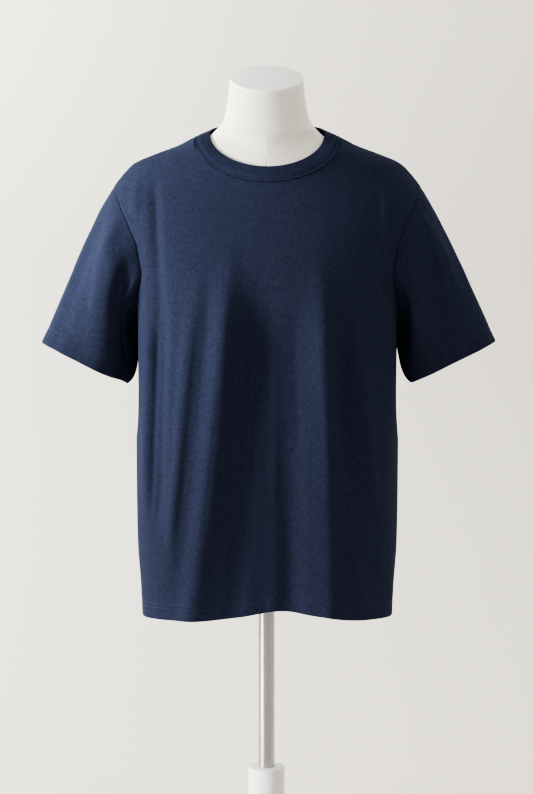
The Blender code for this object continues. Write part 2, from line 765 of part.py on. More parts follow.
def make_form():
    """The torso and neck in one body, and the flat cap on the neck."""
    rings = []
    for row in TORSO.rows():
        size = [row[name] for name in ("half_width", "front", "back", "square", "height")]
        rings.append(oval_ring(*size))
    for row in NECK.rows():
        size = [row[name] for name in ("half_width", "front", "back", "square", "height")]
        rings.append(oval_ring(*size, CAP_TILT * row["lean"]))
    white = material("white_jersey", (0.80, 0.79, 0.76), 0.8)
    add_loft("form", rings, white)
    cap = []
    low_z = NECK.rows()[-1]["height"] + PART_GAP
    inset = CAP_EDGE
    for height, smaller in (
        (low_z, 0.0),
        (low_z + CAP_THICK - inset, 0.0),
        (low_z + CAP_THICK - inset * 0.3, inset * 0.3),
        (low_z + CAP_THICK, inset),
    ):
        half_width = CAP_HALF_WIDTH - smaller
        half_depth = CAP_HALF_DEPTH - smaller
        cap.append(oval_ring(half_width, half_depth, half_depth, 2.0, height, CAP_TILT))
    add_loft("neck_cap", cap, material("white_cap", (0.78, 0.77, 0.74), 0.6))


def add_turned(name, profile, made_of, closed_profile=False):
    """A body turned round the stand's axis from (radius, height) points, from top to bottom."""
    bm = bmesh.new()
    verts = [bm.verts.new((radius, 0, height)) for radius, height in profile]
    edges = [bm.edges.new(pair) for pair in zip(verts, verts[1:])]
    if closed_profile:
        edges.append(bm.edges.new((verts[-1], verts[0])))
    bmesh.ops.spin(
        bm,
        geom=verts + edges,
        cent=(0, 0, 0),
        axis=(0, 0, 1),
        angle=2 * math.pi,
        steps=ROUND_SEGMENTS,
        use_merge=True,
    )
    bmesh.ops.remove_doubles(bm, verts=bm.verts, dist=1e-6)
    return add_object(name, bm, made_of)


def make_stand():
    """Pole and its flange under the form, the post that guides the pole, and the base plate."""
    white = material("white_paint", (0.80, 0.79, 0.77), 0.45)
    steel = material("chromed_steel", (0.62, 0.62, 0.61), 0.22, 1.0)
    bore = POLE_RADIUS + POLE_CLEARANCE
    flange_top = FORM_BOTTOM_Z - PART_GAP
    flange_low = flange_top - FLANGE_THICK
    hub_low = flange_low - HUB_LENGTH
    add_turned(
        "form_flange",
        [
            (bore, flange_top),
            (FLANGE_RADIUS, flange_top),
            (FLANGE_RADIUS, flange_low),
            (HUB_RADIUS, flange_low),
            (HUB_RADIUS, hub_low),
            (bore, hub_low),
        ],
        white,
        closed_profile=True,
    )
    edge = POST_EDGE
    pole_top = flange_top
    add_turned(
        "pole",
        [
            (0, pole_top),
            (POLE_RADIUS - edge, pole_top),
            (POLE_RADIUS, pole_top - edge),
            (POLE_RADIUS, POLE_LOW_Z + edge),
            (POLE_RADIUS - edge, POLE_LOW_Z),
            (0, POLE_LOW_Z),
        ],
        steel,
    )
    low = BASE_THICK + PART_GAP
    hollow = POST_RADIUS - POST_WALL
    add_turned(
        "post",
        [
            (bore, POST_TOP_Z),
            (POST_RADIUS - edge, POST_TOP_Z),
            (POST_RADIUS, POST_TOP_Z - edge),
            (POST_RADIUS, low),
            (0, low),
            (0, low + POST_FLOOR),
            (hollow, low + POST_FLOOR),
            (hollow, POST_TOP_Z - POST_COLLAR),
            (bore, POST_TOP_Z - POST_COLLAR),
        ],
        white,
        closed_profile=True,
    )
    add_turned(
        "base_plate",
        [
            (0, BASE_THICK),
            (BASE_RADIUS - BASE_EDGE, BASE_THICK),
            (BASE_RADIUS, BASE_THICK - BASE_EDGE),
            (BASE_RADIUS, 0),
            (0, 0),
        ],
        white,
    )


def main():
    for existing in list(bpy.data.objects):
        bpy.data.objects.remove(existing, do_unlink=True)
    make_shirt()
    make_form()
    make_stand()


main()
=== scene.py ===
"""The looks of a crew neck t-shirt on a limbless dress form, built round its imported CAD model.

Metres, +Z up. The shirt's front faces -Y and the wearer's left is +X, as in the CAD model.

Each piece of cloth is a grid of points, the middle of its thickness. Row 0 is the piece's top
edge and the rows run down to its hem. Pieces that are sewn together share their seam's points.
"""

import math

import bmesh
import bpy
import numpy as np
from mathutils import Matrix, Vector, noise


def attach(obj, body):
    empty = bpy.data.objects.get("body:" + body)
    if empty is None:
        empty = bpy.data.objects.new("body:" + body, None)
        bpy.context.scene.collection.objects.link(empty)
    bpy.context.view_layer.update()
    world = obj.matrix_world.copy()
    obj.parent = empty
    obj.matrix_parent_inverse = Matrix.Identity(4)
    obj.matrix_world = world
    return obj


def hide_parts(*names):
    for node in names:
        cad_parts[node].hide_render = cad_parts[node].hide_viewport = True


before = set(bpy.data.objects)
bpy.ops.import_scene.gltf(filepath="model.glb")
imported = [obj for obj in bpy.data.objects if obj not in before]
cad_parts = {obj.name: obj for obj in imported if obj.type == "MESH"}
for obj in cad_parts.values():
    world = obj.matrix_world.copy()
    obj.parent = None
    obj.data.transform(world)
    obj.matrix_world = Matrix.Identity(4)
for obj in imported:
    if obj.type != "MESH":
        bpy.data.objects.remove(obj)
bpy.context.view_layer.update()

bl_info = {
    "name": "Crew neck t-shirt on a dress form",
    "version": (1, 0, 0),
    "blender": (4, 5, 0),
    "location": "3D View > Sidebar > T-shirt",
    "description": "Makes the cloth, stitching, form and stage round the t-shirt's CAD model",
    "category": "Object",
}

# Landmarks of the shirt, as in the CAD model
SHIRT_SHIFT_X = 0.0012
NECK_POINT_Z = 1.4442
ARM_TOP_Z = 1.3690
ARMPIT_Z = 1.1650
SIDE_HEM_Z = 0.7196
HEM_SLOPE = 0.11
HEM_LEVEL = 0.16
NECKLINE_HALF = 0.1060
NECKLINE_DROP_FRONT = 0.0595
NECKLINE_DROP_BACK = 0.0085
NECKLINE_BEND_BACK = 1.6
BAND_HALF = 0.0866
BAND_FRONT_Y = 0.0755
BAND_BACK_Y = 0.0640
BAND_SIDE_Z = 1.4490
BAND_DROP_FRONT = 0.0475
BAND_RISE_BACK = 0.0080
BAND_SQUARE = 0.85
BAND_ROUND = 0.0012
BAND_SOFTNESS = 0.18
PULL_REACH = 0.034
PULL_POWER = 6
CUFF_HALF_DEPTH = 0.046
SLEEVE_CLEAR = 0.50
CUFF_FRONT_RISE = 0.004
COLUMN_DRIFT = 0.45
EVEN_FROM, EVEN_OVER = 0.15, 0.45
SIDE_CLEAR, SIDE_FADE = 0.02, 0.05
FOLD_GROWS, FOLD_FADES = 0.30, 0.25
SLEEVE_FOLD_GROWS, SLEEVE_FOLD_EASES = 0.25, 0.40
CREASE_START, CREASE_FADES = 0.12, 0.35

# The ways, outward and up, in which a sleeve leaves the armhole and comes to the cuff
LEAVES_TOP = (0.54, -0.84)
LEAVES_UNDER = (0.84, -0.54)
ARRIVES_UNDER = (0.80, -0.60)

# Fineness of the cloth: columns in a quarter of a panel, and rows
QUARTER = 52
ARM_ROWS = 56
SIDE_ROWS = 76
SLEEVE_ROWS = 56
BAND_ROWS = 8
SECTION_STEPS = 400
NECKLINE_STEPS = 800
ARMHOLE_STEPS = 600
SMOOTH_ANGLE = 60
FORM_SMOOTH_ANGLE = 40
TINY = 1e-12
SAME_PLACE = 1e-7

# Where extra rows and columns go between a sewn edge and the line beside it
EXTRA_LINES = (0.33, 0.66)

# How far above the highest hem row the piece's own rows end
ROW_CLEAR = 0.002

# Stitches and hems. Rows are counted from the neckband's last one
THREAD_STEPS = 6
THREAD_SIDES = 6
THREAD_ROUND = 0.6
THREAD_CLEAR = 0.1
BAND_STITCH_ROWS = (-3, -5)
HEM_GAP = 0.0014
HEM_TURN = 0.0004
HEM_ROWS = (0.0, 0.0012, 0.004, 0.009, 0.0135)
ROWS_ABOVE_STITCHES = (0.006, 0.011)
ROWS_ROUND_A_STITCH = (-0.0022, -0.0010, 0.0, 0.0010, 0.0022)

# Relief of the hem and the seams: heights and reaches
STITCH_DENT, STITCH_REACH = 0.00035, 0.0011
HEM_FOLD_DENT, HEM_FOLD_REACH = 0.0002, 0.0016
RIPPLE, RIPPLE_GRAIN, RIPPLE_FADE = 1.6, (0.0065, 0.0065, 0.010), 0.008
PUCKER_GRAIN, PUCKER_REACH = (0.006, 0.006, 0.006), 0.008
RIDGE_FROM_SEAM, RIDGE_REACH = 0.0034, 0.0016
QUIET_FROM, QUIET_OVER = 0.004, 0.03
CREASE_FROM, CREASE_OVER = 0.002, 0.012

# Unevenness of the cloth: its grain along X, Y and Z, its seed and its share
PANEL_UNEVEN = (((0.030, 0.030, 0.160), 3.0, 1.0), ((0.014, 0.014, 0.050), 11.0, 0.4))
SLEEVE_UNEVEN = (((0.026, 0.026, 0.090), 47.0, 1.0), ((0.013, 0.013, 0.040), 53.0, 0.4))
RIPPLE_SEED, PANEL_PUCKER_SEED, SLEEVE_PUCKER_SEED = 31.0, 23.0, 59.0

# The body's cloth is smoother above this height, where it lies on the form
SMOOTH_FROM_Z, SMOOTH_OVER, SMOOTH_SHARE = 1.33, 0.20, 0.25

# How the folded band's lower edge is tucked in
BAND_OVER, BAND_EDGE, BAND_TUCK = 0.0009, 0.0003, 0.7
BAND_TURN_STEPS = 7

# The form
FORM_TURNS = 128
FRONT_SEAM_TURNS = (-0.030, -0.020, -0.010, -0.005, 0.005, 0.010, 0.020, 0.030)
FORM_BOTTOM_Z = 0.800
CAP_TILT = math.radians(19.4)
CAP_GAP = 0.0003
CAP_THICK = 0.005
CAP_HALF_WIDTH = 0.0542
CAP_HALF_DEPTH = 0.0520
CAP_EDGE, CAP_EDGE_STEPS = 0.0014, 5

# The seam round the form's neck
NECK_SEAM_FRONT_Z = 1.4200
NECK_SEAM_FRONT_BEND = 6.98
NECK_SEAM_BACK_Z = 1.4665
NECK_SEAM_BACK_BEND = -1.45
NECK_SEAM_STEPS = 400
NECK_SEAM_START_Z = 1.4585
NECK_SEAM_ROUNDS, NECK_SEAM_SHARE = 12, 0.6
NECK_SEAM_UP = 0.03
NECK_SEAM_SUNK = 0.0002

# Heights of the form's rings: from, to and how many
FORM_LEVELS = (
    (FORM_BOTTOM_Z, 0.8200, 8),
    (0.8400, 1.4000, 30),
    (1.4040, 1.4160, 5),
    (1.4180, 1.4600, 40),
    (1.4615, 1.5272, 28),
)
FRONT_SEAM_FROM_Z, FRONT_SEAM_FADE = 0.82, 0.002

# The stage's lights by their setting: place, target, size and spread in degrees
LIGHTS = {
    "key": ((-2.66, -0.72, 1.68), (0, 0, 1.42), 0.75, 48.0),
    "low": ((-1.80, -0.90, 0.45), (0, 0, 0.45), 0.3, 20.0),
    "back": ((1.6, 2.0, 2.6), (0, 0, 1.1), 1.5, 180.0),
    "wall": ((-1.9, 1.3, 2.3), (-0.9, 2.6, 1.7), 1.2, 180.0),
}

# The floor and the wall, one sheet that bends from one to the other
FLOOR_FROM_Y = -6.5
WALL_Y = 2.6
WALL_TOP = 5.0
WALL_HALF = 6.0
WALL_BEND = 1.0
WALL_BEND_STEPS = 13
SKY_COLOUR = (1.0, 0.98, 0.95, 1.0)
SENSOR_WIDTH = 36.0

# How far apart the shader nodes stand
NODE_STEP = 180


def cubic(start, end, leave, arrive, t):
    """From start to end with these slopes, as t goes from 0 to 1."""
    return (
        start * (1 + 2 * t) * (1 - t) ** 2
        + leave * t * (1 - t) ** 2
        + end * t**2 * (3 - 2 * t)
        + arrive * t**2 * (t - 1)
    )


def curve_through(xs, ys, at):
    """Values at `at` on a smooth curve through the points that never overshoots them."""
    at = np.clip(at, xs[0], xs[-1])
    step = np.diff(xs)
    slope = np.diff(ys) / step
    lean = np.concatenate([slope[:1], np.zeros(len(xs) - 2), slope[-1:]])
    same_way = slope[:-1] * slope[1:] > 0
    weight_a = (2 * step[1:] + step[:-1])[same_way]
    weight_b = (step[1:] + 2 * step[:-1])[same_way]
    before, after = slope[:-1][same_way], slope[1:][same_way]
    lean[1:-1][same_way] = (weight_a + weight_b) / (weight_a / before + weight_b / after)
    i = np.clip(np.searchsorted(xs, at) - 1, 0, len(xs) - 2)
    t = (at - xs[i]) / step[i]
    return cubic(ys[i], ys[i + 1], step[i] * lean[i], step[i] * lean[i + 1], t)


class Table:
    """Rows of named columns, read between the rows along the first column."""

    def __init__(self, names, text):
        self.names = names.split()
        rows = [[float(value) for value in line.split()] for line in text.strip().splitlines()]
        self.columns = dict(zip(self.names, np.array(sorted(rows)).T))

    def at(self, name, where):
        return curve_through(self.columns[self.names[0]], self.columns[name], where)

    def rows(self):
        return [dict(zip(self.names, row)) for row in zip(*self.columns.values())]


# Half the shirt's width at each height: the shoulder's ridge, the sleeve's root and the side
OUTLINE = Table("height half_width", """
1.46 0.076
1.449 0.088
1.4442 0.106
1.4304 0.1345
1.417 0.1703
1.405 0.1975
1.388 0.215
1.3708 0.2282
1.3565 0.2365
1.34 0.239
1.32 0.2365
1.28 0.219
1.24 0.205
1.2 0.2005
1.165 0.2005
1.04 0.1975
0.9 0.197
0.83 0.196
0.77 0.192
0.715 0.1895
""")

# How far the shirt reaches forward and back, and how square its section is (2 is an ellipse)
DEPTH = Table("height front back square", """
1.46 0.0535 0.06 1.65
1.4442 0.059 0.0715 1.6
1.417 0.069 0.091 1.62
1.3835 0.085 0.1055 1.78
1.34 0.1045 0.1165 2.05
1.28 0.1225 0.1237 2.35
1.22 0.1315 0.124 2.55
1.165 0.133 0.1205 2.65
1.04 0.131 0.114 2.7
0.9 0.129 0.112 2.75
0.715 0.1265 0.116 2.8
""")

# The armhole seam from the shoulder (turn 0) to the armpit (turn 1)
ARMHOLE = Table("turn height front back", """
0 1.369 0 0
0.101 1.36 0.026 0.027
0.196 1.343 0.044 0.046
0.308 1.319 0.06 0.062
0.436 1.287 0.0705 0.071
0.575 1.25 0.071 0.07
0.711 1.215 0.057 0.057
0.846 1.185 0.034 0.035
1 1.165 0 0
""")

# How far the armpit pulls the side seam in
ARMPIT_PULL = Table("height depth", """
1.3 0
1.26 0.003
1.2 0.015
1.165 0.0265
1.12 0.02
1.08 0.012
1.04 0.006
0.99 0
""")

# How much higher the middle of the hem hangs, by share of the shirt's width
HEM = Table("across front back", """
-1 0 0
-0.6 0 0.001
-0.25 0.006 0
0.1 0.0155 0.002
0.4 0.008 0.0005
0.7 0.0005 0.0015
1 0 0
""")

# The main folds of the CAD solids, from (top_x, top_z) to (low_x, low_z)
FOLD_COLUMNS = "top_x top_z low_x low_z bow width_top width_low height stays"
FRONT_FOLDS = Table(FOLD_COLUMNS, """
-0.153 1.25 -0.169 0.83 0.001 0.0115 0.0095 -0.009 0
-0.093 1.29 -0.148 0.76 -0.001 0.012 0.0115 0.0052 0
-0.083 1.28 -0.128 0.76 0 0.012 0.012 -0.0014 0
-0.055 1.31 -0.112 0.74 0.007 0.017 0.019 0.0115 1
-0.016 1.28 -0.05 0.74 0.004 0.02 0.023 -0.01 1
0.004 1.27 -0.008 0.74 0.002 0.02 0.0225 -0.0095 1
0.034 1.27 0.036 0.74 -0.002 0.021 0.024 -0.0085 1
0.03 1.06 0.028 0.74 0 0.02 0.024 -0.0038 1
0.077 1.3 0.094 0.74 0.002 0.018 0.019 0.009 1
0.108 1.26 0.125 0.76 0 0.014 0.015 -0.006 0
0.092 1.15 0.143 0.74 -0.004 0.009 0.01 0.0045 1
0.124 1.22 0.16 0.86 0.003 0.01 0.01 0.006 0
""")
BACK_FOLDS = Table(FOLD_COLUMNS, """
-0.142 1.27 -0.165 0.74 0.004 0.017 0.016 0.008 1
-0.112 1.25 -0.122 0.76 0 0.019 0.021 -0.0075 0
-0.074 1.29 -0.083 0.74 0.003 0.02 0.019 0.009 1
-0.03 1.26 -0.035 0.74 0 0.022 0.023 -0.007 1
0.012 1.22 0.008 0.8 0 0.016 0.017 0.0045 0
0.048 1.24 0.049 0.74 0.002 0.019 0.02 -0.0075 1
0.086 1.295 0.1 0.74 0.004 0.02 0.018 0.0095 1
0.122 1.25 0.14 0.76 0 0.016 0.016 -0.006 0
0.15 1.24 0.17 0.74 -0.003 0.013 0.012 0.0055 1
""")

# Finer creases of this scene's cloth, in the same columns
FRONT_CREASES = Table(FOLD_COLUMNS, """
-0.178 1.33 -0.185 0.88 0.002 0.005 0.006 0.0022 0
-0.16 1.24 -0.177 0.85 0.001 0.007 0.006 -0.005 0
-0.19 1.44 -0.197 1.33 0 0.006 0.006 0.0024 0
-0.115 1.25 -0.15 0.8 0.001 0.007 0.0075 0.002 0
-0.095 1.27 -0.14 0.79 0.001 0.0075 0.008 -0.0022 0
0.034 0.98 0.03 0.75 0 0.017 0.019 -0.0025 1
-0.168 1.41 -0.157 1.17 0 0.0075 0.0075 -0.004 0
-0.139 1.23 -0.15 0.93 -0.002 0.005 0.006 0.001 0
-0.066 1.13 -0.101 0.82 0.002 0.0045 0.0055 -0.0009 0
-0.03 1.2 -0.04 0.93 0.001 0.005 0.006 0.001 0
-0.018 1.06 -0.024 0.78 -0.001 0.0055 0.006 -0.0009 0
0.01 1.17 0.009 0.86 0.002 0.005 0.0055 0.0011 0
0.041 1.21 0.047 0.95 -0.001 0.0045 0.0055 -0.0009 0
0.075 1.17 0.092 0.9 0.002 0.005 0.006 0.001 0
0.112 1.18 0.132 0.87 -0.002 0.0045 0.0055 -0.0012 0
0.15 1.25 0.16 0.98 0.001 0.005 0.006 0.0012 0
0.174 1.41 0.168 1.18 0 0.005 0.006 0.0022 0
0.186 1.4 0.178 1.2 0 0.0055 0.006 -0.0028 0
0.179 1.33 0.184 1.08 0.001 0.0045 0.0055 0.002 0
""")
BACK_CREASES = Table(FOLD_COLUMNS, """
-0.178 1.32 -0.185 1.03 0.002 0.0045 0.006 0.002 0
-0.155 1.18 -0.15 0.88 0.002 0.005 0.006 -0.0011 0
-0.094 1.2 -0.102 0.9 -0.001 0.005 0.006 0.0011 0
-0.05 1.17 -0.06 0.86 0.002 0.0045 0.0055 0.0009 0
-0.012 1.15 -0.01 0.83 0.001 0.005 0.0055 -0.001 0
0.03 1.19 0.028 0.91 -0.001 0.0045 0.0055 0.001 0
0.068 1.15 0.075 0.87 0.001 0.005 0.006 -0.0009 0
0.108 1.21 0.121 0.93 0.002 0.0045 0.0055 0.0012 0
0.176 1.32 0.183 1.05 0.001 0.0045 0.006 0.002 0
""")

# Sleeve folds: around is 0 at the shoulder, 0.25 in front, 0.5 under the arm and 0.75 behind;
# down is 0 at the armhole and 1 at the cuff
SLEEVE_FOLD_COLUMNS = "around_top down_top around_low down_low width height"
SLEEVE_FOLDS = {
    "sleeve_right": Table(SLEEVE_FOLD_COLUMNS, """
0.085 0 0.12 0.95 0.035 -0.0045
0.2 0 0.29 1 0.056 0.0095
0.312 0 0.412 0.95 0.06 -0.0095
0.7 0.05 0.72 0.9 0.05 -0.005
0.82 0 0.81 1 0.05 0.0045
"""),
    "sleeve_left": Table(SLEEVE_FOLD_COLUMNS, """
0.12 0 0.15 0.9 0.03 0.0035
0.215 0.05 0.25 0.95 0.055 -0.0055
0.33 0.2 0.34 0.9 0.04 0.003
0.69 0.05 0.7 0.95 0.05 -0.005
0.8 0 0.83 1 0.05 0.005
"""),
}
SLEEVE_CREASES = {
    "sleeve_right": Table(SLEEVE_FOLD_COLUMNS, """
0.13 -0.3 0.25 0.98 0.022 0.0028
0.045 0.1 0.06 0.8 0.012 0.001
0.19 0.15 0.205 0.75 0.011 -0.0011
0.3 0.05 0.315 0.6 0.012 0.0014
0.395 0.02 0.38 0.5 0.011 -0.0014
0.6 0.02 0.63 0.55 0.012 0.0014
0.76 0.1 0.77 0.8 0.012 0.0011
0.9 0.15 0.89 0.75 0.012 -0.0009
"""),
    "sleeve_left": Table(SLEEVE_FOLD_COLUMNS, """
0.095 -0.3 0.235 0.98 0.015 0.0026
0.05 0.15 0.065 0.85 0.011 0.001
0.175 0.1 0.2 0.7 0.012 -0.001
0.285 0.05 0.3 0.65 0.012 0.0013
0.39 0.02 0.375 0.45 0.011 -0.0013
0.61 0.02 0.64 0.6 0.012 0.0014
0.75 0.12 0.765 0.75 0.012 0.001
0.91 0.1 0.905 0.8 0.012 -0.001
"""),
}

# Outer and inner corner of each cuff, seen from the front
CUFFS = {
    "sleeve_right": {"side": -1, "outer": (0.3395, 1.1362), "inner": (0.2105, 1.0730)},
    "sleeve_left": {"side": 1, "outer": (0.3440, 1.1385), "inner": (0.2165, 1.0750)},
}

# Dress form, whose neck sections lean forward until they lie along the cap
FORM = Table("height half_width front back square lean", """
0.8 0.145 0.083 0.084 2.3 0
0.806 0.158 0.093 0.095 2.3 0
0.82 0.163 0.097 0.1 2.3 0
0.88 0.165 0.1 0.103 2.3 0
0.96 0.157 0.099 0.096 2.3 0
1.04 0.148 0.099 0.087 2.3 0
1.12 0.154 0.106 0.093 2.3 0
1.2 0.165 0.116 0.106 2.4 0
1.26 0.174 0.117 0.114 2.4 0
1.31 0.185 0.108 0.115 2.2 0
1.35 0.195 0.095 0.109 1.9 0
1.38 0.198 0.082 0.101 1.7 0
1.392 0.1965 0.0768 0.0975 1.58 0
1.4022 0.1915 0.0728 0.094 1.5 0
1.4096 0.1815 0.069 0.0905 1.46 0
1.417 0.164 0.065 0.086 1.44 0
1.4304 0.127 0.058 0.0765 1.4 0
1.438 0.103 0.0545 0.07 1.4 0
1.443 0.0905 0.053 0.065 1.48 0
1.4475 0.0828 0.0522 0.0615 1.62 0
1.4525 0.0775 0.0518 0.059 1.78 0.01
1.458 0.0725 0.0518 0.0572 1.95 0.04
1.464 0.0676 0.0515 0.0558 2 0.08
1.472 0.0637 0.0515 0.055 2 0.18
1.485 0.0602 0.0515 0.0542 2 0.4
1.5 0.058 0.0515 0.0532 2 0.65
1.515 0.0563 0.0515 0.0525 2 0.88
1.5272 0.0548 0.0518 0.0522 2 1
""")


# Sizes and colours that a user would change


def length(name, description, default):
    measure = {"min": 0.0, "unit": "LENGTH", "subtype": "DISTANCE"}
    return bpy.props.FloatProperty(name=name, description=description, default=default, **measure)


def number(name, description, default, low=0.0, high=1000.0):
    return bpy.props.FloatProperty(
        name=name, description=description, default=default, min=low, max=high
    )


def colour(name, description, default):
    shade = {"size": 3, "min": 0.0, "max": 1.0, "subtype": "COLOR"}
    return bpy.props.FloatVectorProperty(
        name=name, description=description, default=default, **shade
    )


class ShirtSettings(bpy.types.PropertyGroup):
    cloth_thick: length("Cloth thickness", "Thickness of the jersey", 0.0011)
    band_groove: length("Band groove", "How deep the topstitching pulls the neckband in", 0.0007)
    rib_thick: length("Rib thickness", "Thickness of one layer of the neckband", 0.0010)
    band_thick: length("Neckband thickness", "Thickness of the folded band", 0.0026)
    band_lift: length("Neckband lift", "How far the band's lower edge stands off the cloth", 0.0005)
    hem_depth: length("Body hem", "Depth of the turned-up hem", 0.0260)
    sleeve_hem_depth: length("Sleeve hem", "Depth of the turned-up sleeve hem", 0.0240)
    stitch_far: length("Upper stitch row", "Height of the upper stitches above a hem", 0.0236)
    stitch_near: length("Lower stitch row", "Height of the lower stitches above a hem", 0.0173)
    stitch_pitch: length("Stitch pitch", "Distance from one stitch to the next", 0.0033)
    thread: length("Thread", "Thickness of the sewing thread", 0.00042)
    seam_dip: length("Seam depth", "How far a seam sinks into the cloth", 0.0006)
    seam_reach: length("Seam reach", "How far a seam's dip reaches", 0.0015)
    seam_ridge: length("Seam ridge", "Height of the ridge beside a seam", 0.0005)
    pucker: length("Pucker", "Height of the puckers along a seam", 0.00022)
    unevenness: length("Unevenness", "Height of the soft unevenness of the cloth", 0.0009)
    jersey: colour("Jersey", "Colour of the jersey", (0.0335, 0.0405, 0.0750))
    rib: colour("Rib", "Colour of the neckband", (0.0330, 0.0410, 0.0780))
    thread_colour: colour("Thread colour", "Colour of the stitching", (0.0360, 0.0450, 0.0850))


class FormSettings(bpy.types.PropertyGroup):
    seam: length("Seam", "Depth of the seams in the form's cover", 0.0005)
    seam_width: length("Seam width", "Half the width of the seams", 0.0006)
    stitch_pitch: length("Stitch pitch", "From one stitch of the neck seam to the next", 0.0030)
    thread: length("Thread", "Thickness of the neck seam's thread", 0.0007)
    # The neck seam's thread colour is partly painted shade: darker than a real thread, it also
    # stands for the shade in the seam's groove
    seam_thread: colour("Seam thread", "Colour of the neck seam's thread", (0.42, 0.41, 0.38))
    cover: colour("Cover", "Colour of the form's cover", (0.88, 0.845, 0.76))
    cap: colour("Cap", "Colour of the neck cap", (0.91, 0.90, 0.865))
    paint: colour("Paint", "Colour of the post and base", (0.80, 0.79, 0.765))
    steel: colour("Steel", "Colour of the pole", (0.52, 0.52, 0.505))


class StageSettings(bpy.types.PropertyGroup):
    camera_distance: length("Camera distance", "Distance of the camera in front of the form", 4.2)
    camera_height: length("Camera height", "Height of the camera above the floor", 1.68)
    camera_pitch: number("Camera pitch", "Degrees that the camera looks down", 8.5, 0.0, 90.0)
    lens: number("Lens", "Focal length in millimetres", 127.3)
    backdrop: colour("Backdrop", "Colour of the floor and wall", (0.755, 0.722, 0.66))
    key: number("Key light", "Power of the large light, in watts", 12.5)
    low: number("Low light", "Power of the light on the pole and post, in watts", 0.8)
    back: number("Back light", "Power of the light behind the form, in watts", 25.0)
    wall: number("Wall light", "Power of the light on the wall, in watts", 105.0)
    sky: number("Sky", "Strength of the light from all round", 0.73)


def ease(t):
    t = np.clip(t, 0.0, 1.0)
    return t * t * (3 - 2 * t)


def blend(a, b, t):
    return a + (b - a) * t


def near(distance, reach):
    """1 at a line and 0 away from it."""
    return np.exp(-((distance / reach) ** 2))


def unit(v):
    return v / np.maximum(np.linalg.norm(v, axis=-1, keepdims=True), TINY)


def point(x, y, z):
    return np.stack(np.broadcast_arrays(x, y, z), axis=-1).astype(float)


def flattened(points):
    """The points with no height."""
    return points * np.array([1, 1, 0])


def running_length(points, axis=0):
    """Distance along a line or a grid's axis, from 0 at its first point."""
    steps = np.linalg.norm(np.diff(points, axis=axis), axis=-1)
    start = np.zeros_like(np.take(steps, [0], axis=axis))
    return np.concatenate([start, np.cumsum(steps, axis=axis)], axis=axis)


def joined_up(values, axis=0):
    """The values with the first one repeated after the last."""
    return np.concatenate([values, np.take(values, [0], axis=axis)], axis=axis)


def spread(path, shares, also=None):
    """Points at shares of a path's length, with what `also` holds read at the same places."""
    along = running_length(path)
    at = shares * along[-1]
    placed = np.stack([np.interp(at, along, column) for column in path.T], axis=1)
    return placed if also is None else (placed, np.interp(at, along, also))


def depth_column(face):
    return "front" if face < 0 else "back"


def section_y(x, z, face):
    """How far forward (face -1) or back (face 1) the body's plain surface lies at x and z."""
    square = DEPTH.at("square", z)
    share = np.clip(np.abs(x) / OUTLINE.at("half_width", z), 0.0, 1.0)
    return face * DEPTH.at(depth_column(face), z) * (1 - share**square) ** (1 / square)


def pulled_in(points):
    """Points of the body's plain surface, with the sides drawn in near the armpit."""
    x, y, z = np.moveaxis(points, -1, 0)
    near_side = (np.abs(x) / OUTLINE.at("half_width", z)) ** PULL_POWER
    pull = ARMPIT_PULL.at("depth", z) * near(y, PULL_REACH) * near_side
    return point(x - np.sign(x) * pull, y, z)


def soft_part(value):
    """value where it is positive, easing to nothing where it is negative."""
    return (value + np.sqrt(value**2 + BAND_SOFTNESS**2)) / 2


def shoulder_ridge(shares):
    """Points (x, 0, z) along the shoulder seam, from the top of the armhole to the neck point."""
    z = np.linspace(ARM_TOP_Z, NECK_POINT_Z, SECTION_STEPS)
    return spread(point(OUTLINE.at("half_width", z), 0.0, z), shares)


def half_neckline(face, shares):
    """Points from the neck point to the middle of the front or back, and their turns."""
    end = 0.0 if face < 0 else math.pi
    turn = blend(math.pi / 2, end, np.linspace(0, 1, NECKLINE_STEPS) ** 2)
    middle = np.abs(np.cos(turn))
    if face < 0:
        z = NECK_POINT_Z - NECKLINE_DROP_FRONT * middle
    else:
        z = NECK_POINT_Z - NECKLINE_DROP_BACK * (1 - (1 - middle) ** NECKLINE_BEND_BACK)
    x = NECKLINE_HALF * np.sin(turn)
    y = section_y(x, z, face)
    return spread(point(x, y, z), shares, turn)


def section_paths(z, face):
    """Fine paths from the side to the middle along the body's plain sections at heights z."""
    z = np.atleast_1d(z)[:, None]
    angle = np.linspace(0, math.pi / 2, SECTION_STEPS + 1)[None, :]
    power = 2 / DEPTH.at("square", z)
    x = OUTLINE.at("half_width", z) * np.cos(angle).clip(0) ** power
    y = face * DEPTH.at(depth_column(face), z) * np.sin(angle) ** power
    paths = point(x, y, z)
    return paths, running_length(paths, axis=1)


def half_section(z, face, shares):
    """Points at shares of the way from the side to the middle of the body's plain sections."""
    paths, along = section_paths(z, face)
    rows = np.arange(len(shares)) if len(paths) > 1 else np.zeros(len(shares), int)
    at = shares * along[rows, -1]
    i = np.clip((along[rows] < at[:, None]).sum(axis=1) - 1, 0, SECTION_STEPS - 1)
    start, end = along[rows, i], along[rows, i + 1]
    t = ((at - start) / np.maximum(end - start, TINY))[:, None]
    return blend(paths[rows, i], paths[rows, i + 1], t)


def section_share(x, z, face):
    """The share of the way from the side to the middle of each section where x lies."""
    paths, along = section_paths(z, face)
    part = np.clip(x / OUTLINE.at("half_width", z), 0, 1) ** (DEPTH.at("square", z) / 2)
    at = np.arccos(part) / (math.pi / 2) * SECTION_STEPS
    i = np.clip(at.astype(int), 0, SECTION_STEPS - 1)
    rows = np.arange(len(paths))
    return blend(along[rows, i], along[rows, i + 1], at - i) / along[:, -1]


